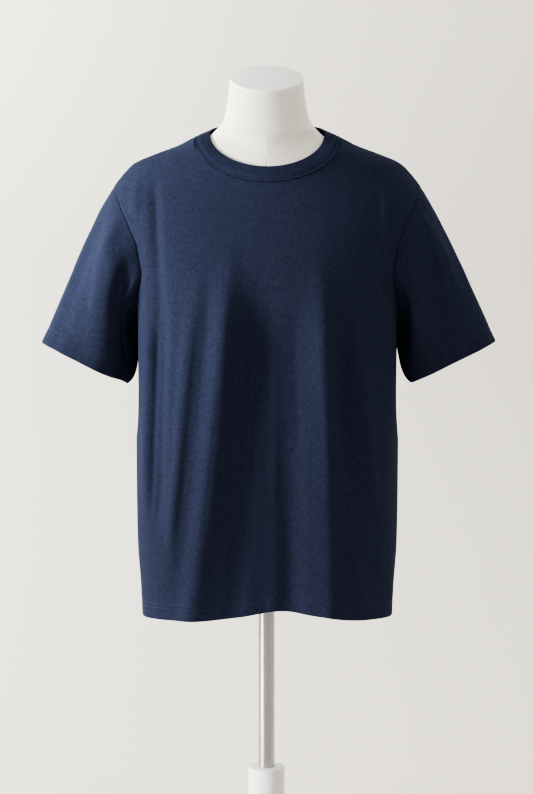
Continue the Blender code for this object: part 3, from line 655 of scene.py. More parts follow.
def armhole_places(face, heights):
    """Points (x, y) of the armhole's edge at each height."""
    turn = np.linspace(0, 1, ARMHOLE_STEPS)
    found = np.interp(-heights, -ARMHOLE.at("height", turn), turn)
    y = ARMHOLE.at(depth_column(face), found)
    share = np.clip(y / DEPTH.at(depth_column(face), heights), 0, 1)
    square = DEPTH.at("square", heights)
    x = OUTLINE.at("half_width", heights) * (1 - share**square) ** (1 / square)
    return np.stack([x, face * y], axis=1)


def upper_half(face):
    """Rows from the top edge to the armpit's height, columns from the right side to the middle.

    Near the top a column keeps its own x. Lower down the columns share each section evenly.
    """
    quarter = np.linspace(0, 1, QUARTER + 1)
    shoulder = shoulder_ridge(quarter)
    neckline, turns = half_neckline(face, quarter)
    top = np.vstack([shoulder, neckline[1:]])
    across = np.linspace(0, 1, 2 * QUARTER + 1)
    low = half_section(ARMPIT_Z, face, across)
    steps = np.linspace(0, 1, ARM_ROWS + 1)
    rows = [top]
    for down in (steps**2 * (2 - steps))[1:]:
        edge_z = blend(ARM_TOP_Z, ARMPIT_Z, down)
        edge = armhole_places(face, np.array([edge_z]))[0]
        shifted = edge[0] - blend(top[0, 0], low[0, 0], down)
        z = blend(top[:, 2], ARMPIT_Z, down)
        x = blend(top[:, 0], low[:, 0], down) + (1 - across) * shifted
        shares = section_share(x, z, face)
        even = blend(shares[0], 1.0, across)
        shares = blend(shares, even, ease((down - EVEN_FROM) / EVEN_OVER))
        row = half_section(z, face, shares)
        row[0] = point(*edge, edge_z)
        rows.append(row)
    return np.stack(rows), turns


def lower_half(face):
    """Rows from the armpit's height to the hem, columns from the right side to the middle."""
    even = np.linspace(0, 1, 2 * QUARTER + 1)
    rows = []
    for down in np.linspace(0, 1, SIDE_ROWS + 1):
        shares = even * (1 - COLUMN_DRIFT * ease(down) * (1 - even))
        rows.append(half_section(blend(ARMPIT_Z, SIDE_HEM_Z, down), face, shares))
    return np.stack(rows)


def hang_share(grid):
    """0 at the armpit's height and above, and 1 at the hem."""
    return ease((ARMPIT_Z - grid[..., 2]) / (ARMPIT_Z - SIDE_HEM_Z))


def whole_panel(face):
    """The middle surface of the front or back, columns from -X to +X, and the neckline's turns."""
    upper, turns = upper_half(face)
    half = np.concatenate([upper, lower_half(face)[1:]])
    grid = np.concatenate([half * np.array([-1, 1, 1]), half[:, -2::-1]], axis=1)
    grid = pulled_in(grid)
    share = grid[-1, :, 0] / np.abs(grid[-1, :, 0]).max()
    rise = HEM.at(depth_column(face), share) + HEM_SLOPE * np.abs(grid[-1, :, 1])
    grid[..., 2] += hang_share(grid) * rise
    return grid, turns


def fold_height(folds, x, z):
    """How far the folds of a panel push its surface out at x and z."""
    total = np.zeros_like(x)
    for fold in folds.rows():
        run = (fold["top_z"] - z) / (fold["top_z"] - fold["low_z"])
        inside = np.clip(run, 0, 1)
        middle = blend(fold["top_x"], fold["low_x"], inside)
        middle += fold["bow"] * np.sin(math.pi * inside)
        width = blend(fold["width_top"], fold["width_low"], inside)
        strength = ease(run / FOLD_GROWS)
        if not fold["stays"]:
            strength *= ease((1 - run) / FOLD_FADES)
        total += fold["height"] * strength * near(x - middle, width)
    return total


def off_side_seams(grid):
    """0 at the side and shoulder seams of a panel and 1 away from them."""
    return ease((np.abs(grid[..., 1]) - SIDE_CLEAR) / SIDE_FADE)


def sleeve_height(folds, around, along, strength):
    """How far folds push a sleeve out, for each row and column of its grid.

    `strength` takes how far down the sleeve a point lies, and how far along the fold.
    """
    down, turn = np.meshgrid(along, around, indexing="ij")
    total = np.zeros_like(down)
    for fold in folds.rows():
        run = (down - fold["down_top"]) / (fold["down_low"] - fold["down_top"])
        middle = blend(fold["around_top"], fold["around_low"], np.clip(run, 0, 1))
        total += fold["height"] * strength(down, run) * near(turn - middle, fold["width"])
    return total


def fold_strength(down, run):
    """A sleeve's folds run out through the cuff at half their height."""
    grown = ease(down / SLEEVE_FOLD_GROWS) * ease(run / SLEEVE_FOLD_GROWS)
    return grown * (1 - 0.5 * ease((run - (1 - SLEEVE_FOLD_EASES)) / SLEEVE_FOLD_EASES))


def crease_strength(down, run):
    """Its creases end before the cuff."""
    return ease(down / CREASE_START) * ease(run / CREASE_FADES) * ease((1 - run) / CREASE_FADES)


def surface_directions(grid, around=False):
    """Unit directions square to a grid of points, to the left of its rows as they run down."""
    if around:
        across = np.roll(grid, -1, axis=1) - np.roll(grid, 1, axis=1)
    else:
        across = np.gradient(grid, axis=1)
    return unit(np.cross(across, np.gradient(grid, axis=0)))


def facing_out(directions, outward):
    """The same directions, turned over where they point against `outward`."""
    flip = np.sign((directions * outward).sum(axis=-1, keepdims=True))
    return directions * np.where(flip == 0, 1, flip)


def soft_noise(points, size, seed):
    """Smooth noise from about -1 to 1 at each point, with its own grain size along X, Y and Z."""
    scaled = points / np.array(size) + seed
    values = [noise.noise(Vector(place)) for place in scaled.reshape(-1, 3)]
    return np.array(values).reshape(points.shape[:-1])


class Piece:
    """One piece of cloth: its middle surface, the surface's directions and its sewn edges."""

    def __init__(self, name, grid, outward, seams, around=False):
        self.name = name
        self.grid = grid
        self.around = around
        self.seams = seams
        self.directions = facing_out(surface_directions(grid, around), outward)

    def each(self, change):
        """Makes the same change to the points and to the directions."""
        self.grid = change(self.grid)
        self.directions = unit(change(self.directions))

    def closed(self, values):
        """The columns with the first one repeated after the last, if the piece is a tube."""
        return joined_up(values, axis=1) if self.around else values

    def down(self):
        """Distance along each column from the top edge."""
        return running_length(self.grid)

    def up(self):
        """Distance along each column from the lower edge."""
        down = self.down()
        return down[-1:] - down

    def across(self):
        """Distance along each row from the first column."""
        return running_length(self.grid, axis=1)

    def from_sides(self):
        """Distance along each row from the nearer end of the row."""
        across = self.across()
        return np.minimum(across, across[:, -1:] - across)

    def push(self, height):
        self.grid = self.grid + self.directions * height[..., None]

    def line_above_edge(self, height):
        """Points and directions at one height above the lower edge, a point for each column."""
        up = self.up()[::-1]
        line, out = (
            np.array([
                [np.interp(height, up[:, i], values[::-1, i, axis]) for axis in range(3)]
                for i in range(up.shape[1])
            ])
            for values in (self.grid, self.directions)
        )
        return line, unit(out)

    def set_edge_rows(self, heights):
        """Puts rows at these heights above the lower edge, in place of the rows there."""
        up = self.up()
        keep = int(np.argmax((up <= max(heights) + ROW_CLEAR).any(axis=1)))
        heights = sorted(heights, reverse=True)
        lines, outs = zip(*[self.line_above_edge(height) for height in heights])
        self.grid = np.concatenate([self.grid[:keep], np.stack(lines)])
        self.directions = np.concatenate([self.directions[:keep], np.stack(outs)])


def more_rows_at_top(values):
    new = [blend(values[0], values[1], share) for share in EXTRA_LINES]
    return np.concatenate([values[:1], np.stack(new), values[1:]])


def more_columns_at_sides(values):
    sides = []
    for outer, inner in ((0, 1), (-1, -2)):
        new = [blend(values[:, outer], values[:, inner], share) for share in EXTRA_LINES]
        sides.append(np.stack(new, axis=1))
    first, last = sides
    return np.concatenate(
        [values[:, :1], first, values[:, 1:-1], last[:, ::-1], values[:, -1:]], axis=1
    )


def panel_seams():
    """The sewn edges of a panel, as rows and columns."""
    last_row, last = ARM_ROWS + SIDE_ROWS, 4 * QUARTER
    top = (np.zeros(last + 1, int), np.arange(last + 1))
    sides = [(np.arange(last_row + 1), np.full(last_row + 1, column)) for column in (0, last)]
    return [top, *sides]


def share_seams(pieces):
    """Gives the pieces one surface direction at each point of a seam, the mean of their own."""
    meeting = {}
    for piece in pieces:
        places = {(r, c) for rows, columns in piece.seams for r, c in zip(rows, columns)}
        for row, column in places:
            key = tuple(np.round(piece.grid[row, column], 5) + 0.0)
            meeting.setdefault(key, []).append((piece, row, column))
    for places in meeting.values():
        mean = unit(sum(piece.directions[row, column] for piece, row, column in places))
        for piece, row, column in places:
            piece.directions[row, column] = mean


def make_panels():
    """The front and the back, and the neckline's turns for each."""
    panels, turns = {}, {}
    for name, face, folds in (("front", -1, FRONT_FOLDS), ("back", 1, BACK_FOLDS)):
        grid, turns[name] = whole_panel(face)
        out = facing_out(surface_directions(grid), flattened(grid))
        height = fold_height(folds, grid[..., 0], grid[..., 2]) * off_side_seams(grid)
        grid = grid + out * height[..., None]
        grid[..., 2] += HEM_LEVEL * height * hang_share(grid)
        panels[name] = Piece(name, grid, flattened(grid), panel_seams())
    return panels, turns


def armhole_loop(values, side):
    """What the panels hold along an armhole, from the shoulder by the front to the back."""
    column = 0 if side < 0 else -1
    front = values["front"][: ARM_ROWS + 1, column]
    back = values["back"][: ARM_ROWS + 1, column]
    return np.vstack([front, back[-2:0:-1]])


def make_sleeve(name, panels):
    """A tube from the armhole to the cuff, which leaves the shoulder along the shoulder's slope."""
    cuff = CUFFS[name]
    side = cuff["side"]
    start = armhole_loop({name: panel.grid for name, panel in panels.items()}, side)
    off_body = armhole_loop({name: panel.directions for name, panel in panels.items()}, side)
    count = len(start)
    angle = np.linspace(0, 2 * math.pi, count, endpoint=False)
    outer, inner = (
        point(side * cuff[corner][0], 0.0, cuff[corner][1]) for corner in ("outer", "inner")
    )
    middle = (outer + inner) / 2
    half = (outer - inner) / 2
    down = unit(point(-half[2] * -side, 0.0, -abs(half[0])))
    forward = np.sin(angle)[:, None]
    end = middle + half * np.cos(angle)[:, None]
    end = end + point(0, -CUFF_HALF_DEPTH, 0) * forward - down * CUFF_FRONT_RISE * forward
    top_way, under_way, arrive_way = (
        point(side * outward, 0, up) for outward, up in (LEAVES_TOP, LEAVES_UNDER, ARRIVES_UNDER)
    )
    under = (1 - np.cos(angle)[:, None]) / 2
    leave = unit(blend(top_way, under_way, under) + off_body * under * SLEEVE_CLEAR)
    arrive = unit(blend(down, arrive_way, under**2))
    reach = np.linalg.norm(end - start, axis=1, keepdims=True)
    along = np.linspace(0, 1, SLEEVE_ROWS + 1)
    grid = np.stack([cubic(start, end, reach * leave, reach * arrive, t) for t in along])
    centre = grid.mean(axis=1, keepdims=True)
    out = facing_out(surface_directions(grid, around=True), grid - centre)
    around = angle / (2 * math.pi)
    height = sleeve_height(SLEEVE_FOLDS[name], around, along, fold_strength)
    grid = grid + out * height[..., None]
    seam = (np.zeros(count, int), np.arange(count))
    piece = Piece(name, grid, grid - centre, [seam], around=True)
    piece.creases = sleeve_height(SLEEVE_CREASES[name], around, along, crease_strength)
    return piece


def make_neckband(panels, turns):
    """The band from its free edge to the neckline, a ring from the right side by the front."""
    first, last = QUARTER, 3 * QUARTER
    front = panels["front"].grid[0, first : last + 1]
    back = panels["back"].grid[0, first : last + 1]
    low = np.vstack([front, back[-2:0:-1]])
    ahead, behind = turns["front"], turns["back"]
    quarter_turns = [ahead, -ahead[-2::-1], -behind[1:], behind[-2:0:-1]]
    turn = np.concatenate(quarter_turns)[: len(low)]
    forward = np.cos(turn)
    deep = np.where(forward > 0, BAND_FRONT_Y, -BAND_BACK_Y)
    high_y = -deep * np.abs(forward) ** BAND_SQUARE
    front_drop = BAND_DROP_FRONT * (soft_part(forward) - soft_part(0.0))
    back_rise = BAND_RISE_BACK * (soft_part(-forward) - soft_part(0.0))
    high = point(-BAND_HALF * np.sin(turn), high_y, BAND_SIDE_Z - front_drop + back_rise)
    grid = np.stack([blend(high, low, t) for t in np.linspace(0, 1, BAND_ROWS + 1)])
    upward = point(0, 0, 1) + unit(flattened(grid))
    out = facing_out(surface_directions(grid, around=True), upward)
    bulge = np.sin(np.linspace(0, math.pi, BAND_ROWS + 1))[:, None, None] * BAND_ROUND
    seam = (np.full(len(low), BAND_ROWS), np.arange(len(low)))
    return Piece("neckband", grid + out * bulge, upward, [seam], around=True)


def new_object(name, bm, material, smooth_angle=SMOOTH_ANGLE):
    """A new object from a bmesh, shaded smooth but for its sharp edges."""
    mesh = bpy.data.meshes.new(name)
    bm.to_mesh(mesh)
    bm.free()
    mesh.shade_smooth()
    mesh.set_sharp_from_angle(angle=math.radians(smooth_angle))
    mesh.materials.append(material)
    made = bpy.data.objects.new(name, mesh)
    bpy.context.scene.collection.objects.link(made)
    return made


def lay_cloth(name, piece, laid, thick, material):
    """A grid mesh laid on a piece's rows, with its UV map in metres, given its thickness."""
    uv = flat_map(piece, laid)
    grid = piece.closed(laid)
    rows, columns = grid.shape[:2]
    bm = bmesh.new()
    uv_layer = bm.loops.layers.uv.new("cloth")
    bmesh.ops.create_grid(bm, x_segments=columns - 1, y_segments=rows - 1, size=0.5)
    for vert in bm.verts:
        vert.co.x = round((vert.co.x + 0.5) * (columns - 1))
        vert.co.y = round((vert.co.y + 0.5) * (rows - 1))
    for face in bm.faces:
        for loop in face.loops:
            column, row = int(loop.vert.co.x), int(loop.vert.co.y)
            loop[uv_layer].uv = uv[row, column]
    for vert in bm.verts:
        vert.co = grid[int(vert.co.y), int(vert.co.x)]
    if piece.around:
        bmesh.ops.remove_doubles(bm, verts=bm.verts, dist=SAME_PLACE)
    middle = (rows // 3, columns // 3)
    wanted = Vector(piece.closed(piece.directions)[middle])
    place = Vector(grid[middle])
    beside = min(bm.faces, key=lambda face: (face.calc_center_median() - place).length)
    if beside.normal.dot(wanted) < 0:
        bmesh.ops.reverse_faces(bm, faces=bm.faces)
    made = new_object(name, bm, material)
    wall = made.modifiers.new("cloth", "SOLIDIFY")
    wall.thickness = thick
    wall.offset = 0.0
    return made


def flat_map(piece, grid):
    """UV coordinates in metres: across from the middle column and down from the first row."""
    whole = piece.closed(grid)
    across = running_length(whole, axis=1)
    if piece.around:
        across = across / across[:, -1:] * across[:, -1].mean()
    else:
        across = across - across[:, across.shape[1] // 2][:, None]
    down = running_length(whole).mean(axis=1, keepdims=True)
    return np.stack(np.broadcast_arrays(across, -down), axis=-1)


def turned_up(piece, depth):
    """Rows that run on round the lower edge and up inside, as a folded hem does."""
    rows = []
    round_edge = ((-HEM_TURN, 0.25), (-HEM_TURN, 0.75), (0.0, 1.0))
    inside = ((depth * share, 1.0) for share in (1 / 3, 2 / 3, 1.0))
    for height, inward in (*round_edge, *inside):
        line, out = piece.line_above_edge(max(height, 0.0))
        rows.append(line - out * HEM_GAP * inward + point(0, 0, min(height, 0.0)))
    return np.stack(rows)


def jersey_piece(piece, hem_depth, settings):
    """The object of a panel or a sleeve, with its turned-up hem."""
    laid = shift(np.concatenate([piece.grid, turned_up(piece, hem_depth)]))
    cloth = cloth_material("jersey_cloth", settings.jersey)
    return lay_cloth("shirt_" + piece.name, piece, laid, settings.cloth_thick, cloth)


def hem_heights(settings):
    heights = list(HEM_ROWS)
    for line in (settings.stitch_near, settings.stitch_far):
        heights += [line + step for step in ROWS_ROUND_A_STITCH]
    return heights + [settings.stitch_far + step for step in ROWS_ABOVE_STITCHES]


def dent_hem(piece, settings):
    """Sinks the rows of stitches into the hem and makes the cloth between them ripple."""
    up = piece.up()
    stitches = (settings.stitch_near, settings.stitch_far)
    dent = STITCH_DENT * sum(near(up - line, STITCH_REACH) for line in stitches)
    ripple = settings.pucker * RIPPLE * soft_noise(piece.grid, RIPPLE_GRAIN, RIPPLE_SEED)
    inside = ease((settings.stitch_far + RIPPLE_FADE - up) / RIPPLE_FADE)
    piece.push(ripple * inside - dent - HEM_FOLD_DENT * near(up, HEM_FOLD_REACH))


def stitch_row(bm, line, out, settings, lift, closed):
    """A thread along a line, which dives into the cloth between one stitch and the next."""
    along = running_length(line)
    count = int(along[-1] / settings.stitch_pitch)
    rows = count * THREAD_STEPS
    at = np.linspace(0, 1, rows + 1)
    phase = (at * count) % 1.0
    phase[-1] = 0.0
    place, up = (
        np.stack([np.interp(at * along[-1], along, column) for column in values.T], axis=1)
        for values in (line, out)
    )
    up = unit(up)
    way = unit(np.gradient(place, axis=0))
    side = unit(np.cross(up, way))
    rise = np.sin(math.pi * phase) ** THREAD_ROUND
    middle = place + up * ((lift + settings.thread) * rise - settings.thread)[:, None]
    radius = settings.thread / 2 * (0.5 + 0.5 * rise)
    if not closed:
        radius[[0, -1]] = 0.0
    turn = np.linspace(0, 2 * math.pi, THREAD_SIDES + 1)
    made = bmesh.ops.create_grid(bm, x_segments=THREAD_SIDES, y_segments=rows, size=0.5)["verts"]
    for vert in made:
        column = round((vert.co.x + 0.5) * THREAD_SIDES)
        row = round((vert.co.y + 0.5) * rows)
        spoke = side[row] * math.cos(turn[column]) + up[row] * math.sin(turn[column])
        vert.co = middle[row] + spoke * radius[row]
    bmesh.ops.remove_doubles(bm, verts=made, dist=SAME_PLACE)


def shift(points):
    return points + point(SHIRT_SHIFT_X, 0, 0)


CLOTH = {}


def cut_pieces():
    """The cloth's pieces with their shared seams, worked out once."""
    if CLOTH:
        return CLOTH
    panels, turns = make_panels()
    pieces = list(panels.values())
    pieces += [make_sleeve(name, panels) for name in CUFFS]
    pieces.append(make_neckband(panels, turns))
    share_seams(pieces)
    CLOTH.update({piece.name: piece for piece in pieces})
    return CLOTH


def unevenness(piece, settings, layers, from_edge):
    """Soft unevenness of the cloth, which dies out towards its sewn edges."""
    quiet = ease((from_edge - QUIET_FROM) / QUIET_OVER)
    uneven = sum(share * soft_noise(piece.grid, grain, seed) for grain, seed, share in layers)
    return settings.unevenness * uneven * quiet


def seam_relief(piece, settings, from_edge, seed):
    """Puckers beside a sewn edge, and the dip at the edge."""
    puckers = settings.pucker * soft_noise(piece.grid, PUCKER_GRAIN, seed)
    dip = settings.seam_dip * near(from_edge, settings.seam_reach)
    return puckers * near(from_edge, PUCKER_REACH) - dip


def finish_panel(name, settings):
    """Seams, creases, unevenness and hem of the front or back."""
    piece = cut_pieces()[name]
    creases = FRONT_CREASES if name == "front" else BACK_CREASES
    height = fold_height(creases, piece.grid[..., 0], piece.grid[..., 2])
    off_edge = ease((piece.from_sides() - CREASE_FROM) / CREASE_OVER)
    piece.push(height * off_side_seams(piece.grid) * off_edge)
    piece.each(more_rows_at_top)
    piece.each(more_columns_at_sides)
    piece.set_edge_rows(hem_heights(settings))
    from_edge = np.minimum(piece.from_sides(), piece.down())
    lower = ease((SMOOTH_FROM_Z - piece.grid[..., 2]) / SMOOTH_OVER)
    uneven = unevenness(piece, settings, PANEL_UNEVEN, from_edge) * blend(SMOOTH_SHARE, 1.0, lower)
    ridge = settings.seam_ridge * near(from_edge - RIDGE_FROM_SEAM, RIDGE_REACH)
    piece.push(uneven + ridge + seam_relief(piece, settings, from_edge, PANEL_PUCKER_SEED))
    dent_hem(piece, settings)
    return piece


def finish_sleeve(name, settings):
    """The same for a sleeve, whose sewn edges are the armhole and the seam under the arm."""
    piece = cut_pieces()[name]
    piece.push(piece.creases)
    piece.each(more_rows_at_top)
    piece.set_edge_rows(hem_heights(settings))
    count = piece.grid.shape[1]
    loop = running_length(piece.closed(piece.grid), axis=1)[:, -1:]
    from_under = np.abs(np.arange(count) / count - 0.5) * loop
    from_top = piece.down()
    from_edge = np.minimum(from_top, from_under)
    uneven = unevenness(piece, settings, SLEEVE_UNEVEN, from_top)
    piece.push(uneven + seam_relief(piece, settings, from_edge, SLEEVE_PUCKER_SEED))
    dent_hem(piece, settings)
    return piece


def fold_band(settings):
    """Folds the band: up inside from the seam, round its free edge, and down outside."""
    piece = cut_pieces()["neckband"]
    half = (settings.band_thick - settings.rib_thick) / 2
    last = len(piece.grid) - 1
    over = unit(piece.grid[-1] - piece.grid[-2])
    shares = ease(np.linspace(0, 1, last + 1))
    lift = blend(0.0, settings.band_lift, shares)
    outside = [piece.grid[i] + piece.directions[i] * (half + lift[i]) for i in range(last + 1)]
    outside[-2] = outside[-2] - piece.directions[-2] * settings.band_groove
    lower = outside[-1] + over * BAND_OVER + piece.directions[-1] * BAND_EDGE
    tuck = settings.band_lift + half * BAND_TUCK
    tucked = lower - piece.directions[-1] * tuck + over * BAND_EDGE
    inside = [piece.grid[i] - piece.directions[i] * half for i in range(last, -1, -1)]
    top_way = unit(piece.grid[0] - piece.grid[1])
    bend = [
        piece.grid[0]
        + (top_way * math.cos(angle) + piece.directions[0] * math.sin(angle)) * half
        for angle in np.linspace(-math.pi / 2, math.pi / 2, BAND_TURN_STEPS)[1:-1]
    ]
    turning = [unit(row - piece.grid[0]) for row in bend]
    ends = [piece.directions[-1]] * 2
    piece.directions = np.stack([*-piece.directions[::-1], *turning, *piece.directions, *ends])
    piece.grid = shift(np.stack([*inside, *bend, *outside, lower, tucked]))
    return piece


# Materials


def feed(tree, made, inputs):
    """Sets a node's inputs, each given as a value or as the socket that it comes from."""
    for key, value in dict(inputs).items():
        if isinstance(value, bpy.types.NodeSocket):
            tree.links.new(value, made.inputs[key])
        else:
            made.inputs[key].default_value = value


def node(tree, kind, inputs=(), **settings):
    """The outputs of a new shader node with these settings and inputs."""
    made = tree.nodes.new("ShaderNode" + kind)
    made.location.x = NODE_STEP * len(tree.nodes)
    for name, value in settings.items():
        setattr(made, name, value)
    feed(tree, made, inputs)
    return made.outputs


def maths(tree, operation, *values):
    return node(tree, "Math", enumerate(values), operation=operation)[0]


def knit(tree, given):
    """Rows of small V stitches with slight thick and thin places, on UV coordinates in metres."""
    place = node(tree, "SeparateXYZ", {0: given["Vector"]})
    across = maths(tree, "DIVIDE", place[0], given["Wale"])
    along = maths(tree, "DIVIDE", place[1], given["Course"])
    lean = maths(tree, "PINGPONG", across, 0.5)
    loops = maths(tree, "PINGPONG", maths(tree, "MULTIPLY_ADD", lean, 1.3, along), 0.5)
    legs = maths(tree, "PINGPONG", maths(tree, "MULTIPLY", across, 2.0), 0.5)
    round_loops = maths(tree, "POWER", maths(tree, "MULTIPLY", loops, 2.0), 0.7)
    round_legs = maths(tree, "POWER", maths(tree, "MULTIPLY", legs, 2.0), 0.5)
    height = maths(tree, "MULTIPLY", round_loops, round_legs)
    stretch = {"Vector": given["Vector"], "Scale": (1.0, 0.28, 1.0)}
    place = node(tree, "Mapping", stretch)[0]
    grain = {"Vector": place, "Scale": 900.0, "Detail": 3.0, "Roughness": 0.65}
    swing = maths(tree, "SUBTRACT", node(tree, "TexNoise", grain)[0], 0.5)
    swing = maths(tree, "MULTIPLY", swing, given["Slub"])
    return {
        "Height": maths(tree, "MULTIPLY_ADD", swing, 1.6, height),
        "Shade": maths(tree, "MULTIPLY_ADD", swing, 2.0, 0.5),
    }


def rib(tree, given):
    """Fine ribs that run across the band, on UV coordinates in metres."""
    place = node(tree, "SeparateXYZ", {0: given["Vector"]})
    across = maths(tree, "DIVIDE", place[0], given["Rib"])
    ridge = maths(tree, "MULTIPLY", maths(tree, "PINGPONG", across, 0.5), 2.0)
    return {"Height": maths(tree, "SMOOTH_MIN", ridge, 0.7, 0.4)}


def uneven_shade(tree, given):
    """Broad, faint changes of shade, and fine specks."""
    place = given["Vector"]
    return {
        name: node(tree, "TexNoise", {"Vector": place, "Scale": given[name], "Detail": 3.0})[0]
        for name in ("Broad", "Fine")
    }


# The node groups' inputs with their values. A vector has none
GROUPS = {
    knit: {"Vector": None, "Wale": 0.0008, "Course": 0.0006, "Slub": 0.5},
    rib: {"Vector": None, "Rib": 0.0016},
    uneven_shade: {"Vector": None, "Broad": 12.0, "Fine": 400.0},
}


def place_group(tree, build, **inputs):
    """The outputs of a node group, which is built the first time that it is placed."""
    group = bpy.data.node_groups.get(build.__name__)
    if not group:
        group = bpy.data.node_groups.new(build.__name__, "ShaderNodeTree")
        for label, value in GROUPS[build].items():
            kind = "NodeSocketVector" if value is None else "NodeSocketFloat"
            socket = group.interface.new_socket(label, in_out="INPUT", socket_type=kind)
            if value is not None:
                socket.default_value = value
        found = build(group, group.nodes.new("NodeGroupInput").outputs)
        for label in found:
            group.interface.new_socket(label, in_out="OUTPUT", socket_type="NodeSocketFloat")
        feed(group, group.nodes.new("NodeGroupOutput"), found)
    return node(tree, "Group", inputs, node_tree=group)


def varied(tree, base, amount, factor):
    """A colour that a factor makes lighter above a half and darker below it."""
    dark = (*[channel * (1 - amount) for channel in base], 1.0)
    light = (*[min(1.0, channel * (1 + amount)) for channel in base], 1.0)
    return node(tree, "Mix", {0: factor, 6: dark, 7: light}, data_type="RGBA")[2]


def bump(tree, height, distance, strength, **below):
    inputs = {"Height": height, "Distance": distance, "Strength": strength, **below}
    return node(tree, "Bump", inputs)[0]


def made_once(build):
    """Builds a material the first time that its name comes, and finds it after that."""

    def find_or_build(name, *values, **options):
        return bpy.data.materials.get(name) or build(name, *values, **options)

    return find_or_build


def new_material(name):
    material = bpy.data.materials.new(name)
    material.use_nodes = True
    tree = material.node_tree
    return material, tree, tree.nodes["Principled BSDF"]


@made_once
def cloth_material(name, base, ribbed=False):
    """Cotton jersey: fine V stitches, faint slub and a soft bloom. A rib has ridges as well."""
    material, tree, shader = new_material(name)
    place = node(tree, "TexCoord")
    loops = place_group(tree, knit, Vector=place["UV"], Slub=0.5)
    clouds = place_group(tree, uneven_shade, Vector=place["Object"], Broad=9.0, Fine=230.0)
    shade = maths(tree, "MULTIPLY", loops["Shade"], 0.45)
    shade = maths(tree, "MULTIPLY_ADD", clouds["Fine"], 0.55, shade)
    shade = maths(tree, "MULTIPLY_ADD", shade, 1.9, -0.45)
    normal = bump(tree, clouds["Fine"], distance=0.0010, strength=0.35)
    if ribbed:
        ribs = place_group(tree, rib, Vector=place["UV"])
        normal = bump(tree, ribs["Height"], distance=0.0007, strength=1.0, Normal=normal)
    feed(tree, shader, {
        "Base Color": varied(tree, base, amount=0.34, factor=shade),
        "Roughness": maths(tree, "MULTIPLY_ADD", clouds["Broad"], 0.10, 0.80),
        "Normal": bump(tree, loops["Height"], distance=0.00022, strength=0.7, Normal=normal),
        "Sheen Weight": 0.03,
        "Sheen Roughness": 0.45,
        "Sheen Tint": (0.40, 0.50, 0.80, 1.0),
        "Specular IOR Level": 0.05,
    })
    return material


@made_once
def thread_material(name, base):
    """Spun thread with a faint sheen."""
    material, tree, shader = new_material(name)
    place = node(tree, "TexCoord")
    clouds = place_group(tree, uneven_shade, Vector=place["Object"], Broad=60.0, Fine=2500.0)
    feed(tree, shader, {
        "Base Color": varied(tree, base, amount=0.25, factor=clouds["Fine"]),
        "Roughness": 0.6,
        "Normal": bump(tree, clouds["Fine"], distance=0.0002, strength=0.5),
        "Sheen Weight": 0.3,
    })
    return material


@made_once
def cover_material(name, base):
    """The stretched white jersey of the form."""
    material, tree, shader = new_material(name)
    place = node(tree, "TexCoord")
    loops = place_group(tree, knit, Vector=place["UV"], Wale=0.0007, Course=0.0008, Slub=0.6)
    clouds = place_group(tree, uneven_shade, Vector=place["Object"], Broad=6.0, Fine=500.0)
    feed(tree, shader, {
        "Base Color": varied(tree, base, amount=0.03, factor=loops["Shade"]),
        "Roughness": maths(tree, "MULTIPLY_ADD", clouds["Broad"], 0.12, 0.74),
        "Normal": bump(tree, loops["Height"], distance=0.00012, strength=0.5),
        "Sheen Weight": 0.15,
        "Specular IOR Level": 0.3,
    })
    return material


@made_once
def paint_material(name, base, roughness, grain):
    """Powder paint or plastic, with a faint orange peel and clouds in its gloss."""
    material, tree, shader = new_material(name)
    place = node(tree, "TexCoord")
    clouds = place_group(tree, uneven_shade, Vector=place["Object"], Broad=14.0, Fine=grain)
    feed(tree, shader, {
        "Base Color": varied(tree, base, amount=0.025, factor=clouds["Broad"]),
        "Roughness": maths(tree, "MULTIPLY_ADD", clouds["Broad"], 0.14, roughness - 0.07),
        "Normal": bump(tree, clouds["Fine"], distance=0.0002, strength=0.25),
    })
    return material


@made_once
def steel_material(name, base):
    """Brushed chrome: fine lines round the pole and clouds in its gloss."""
    material, tree, shader = new_material(name)
    place = node(tree, "TexCoord")
    stretch = {"Vector": place["Object"], "Scale": (1.0, 1.0, 30.0)}
    squeezed = node(tree, "Mapping", stretch)[0]
    clouds = place_group(tree, uneven_shade, Vector=place["Object"], Broad=20.0, Fine=300.0)
    lines = place_group(tree, uneven_shade, Vector=squeezed, Broad=10.0, Fine=60.0)
    feed(tree, shader, {
        "Base Color": varied(tree, base, amount=0.05, factor=clouds["Broad"]),
        "Metallic": 1.0,
        "Roughness": maths(tree, "MULTIPLY_ADD", lines["Fine"], 0.16, 0.22),
        "Normal": bump(tree, lines["Fine"], distance=0.00005, strength=0.3),
    })
    return material


# Operators


class TSHIRT_OT_panels(bpy.types.Operator):
    """Makes the front and the back of the shirt"""

    bl_idname = "tshirt.panels"
    bl_label = "Make the front and back"

    def execute(self, context):
        settings = context.scene.shirt_settings
        for name, flat, area in (
            ("front", (0.575, 0.765), 0.392),
            ("back", (0.575, 0.785), 0.398),
        ):
            made = jersey_piece(finish_panel(name, settings), settings.hem_depth, settings)
            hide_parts(name)
            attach(made, "figure")
        return {"FINISHED"}


class TSHIRT_OT_sleeves(bpy.types.Operator):
    """Makes the two set-in sleeves"""

    bl_idname = "tshirt.sleeves"
    bl_label = "Make the sleeves"

    def execute(self, context):
        settings = context.scene.shirt_settings
        for name in CUFFS:
            made = jersey_piece(finish_sleeve(name, settings), settings.sleeve_hem_depth, settings)
            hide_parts(name)
            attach(made, "figure")
        return {"FINISHED"}


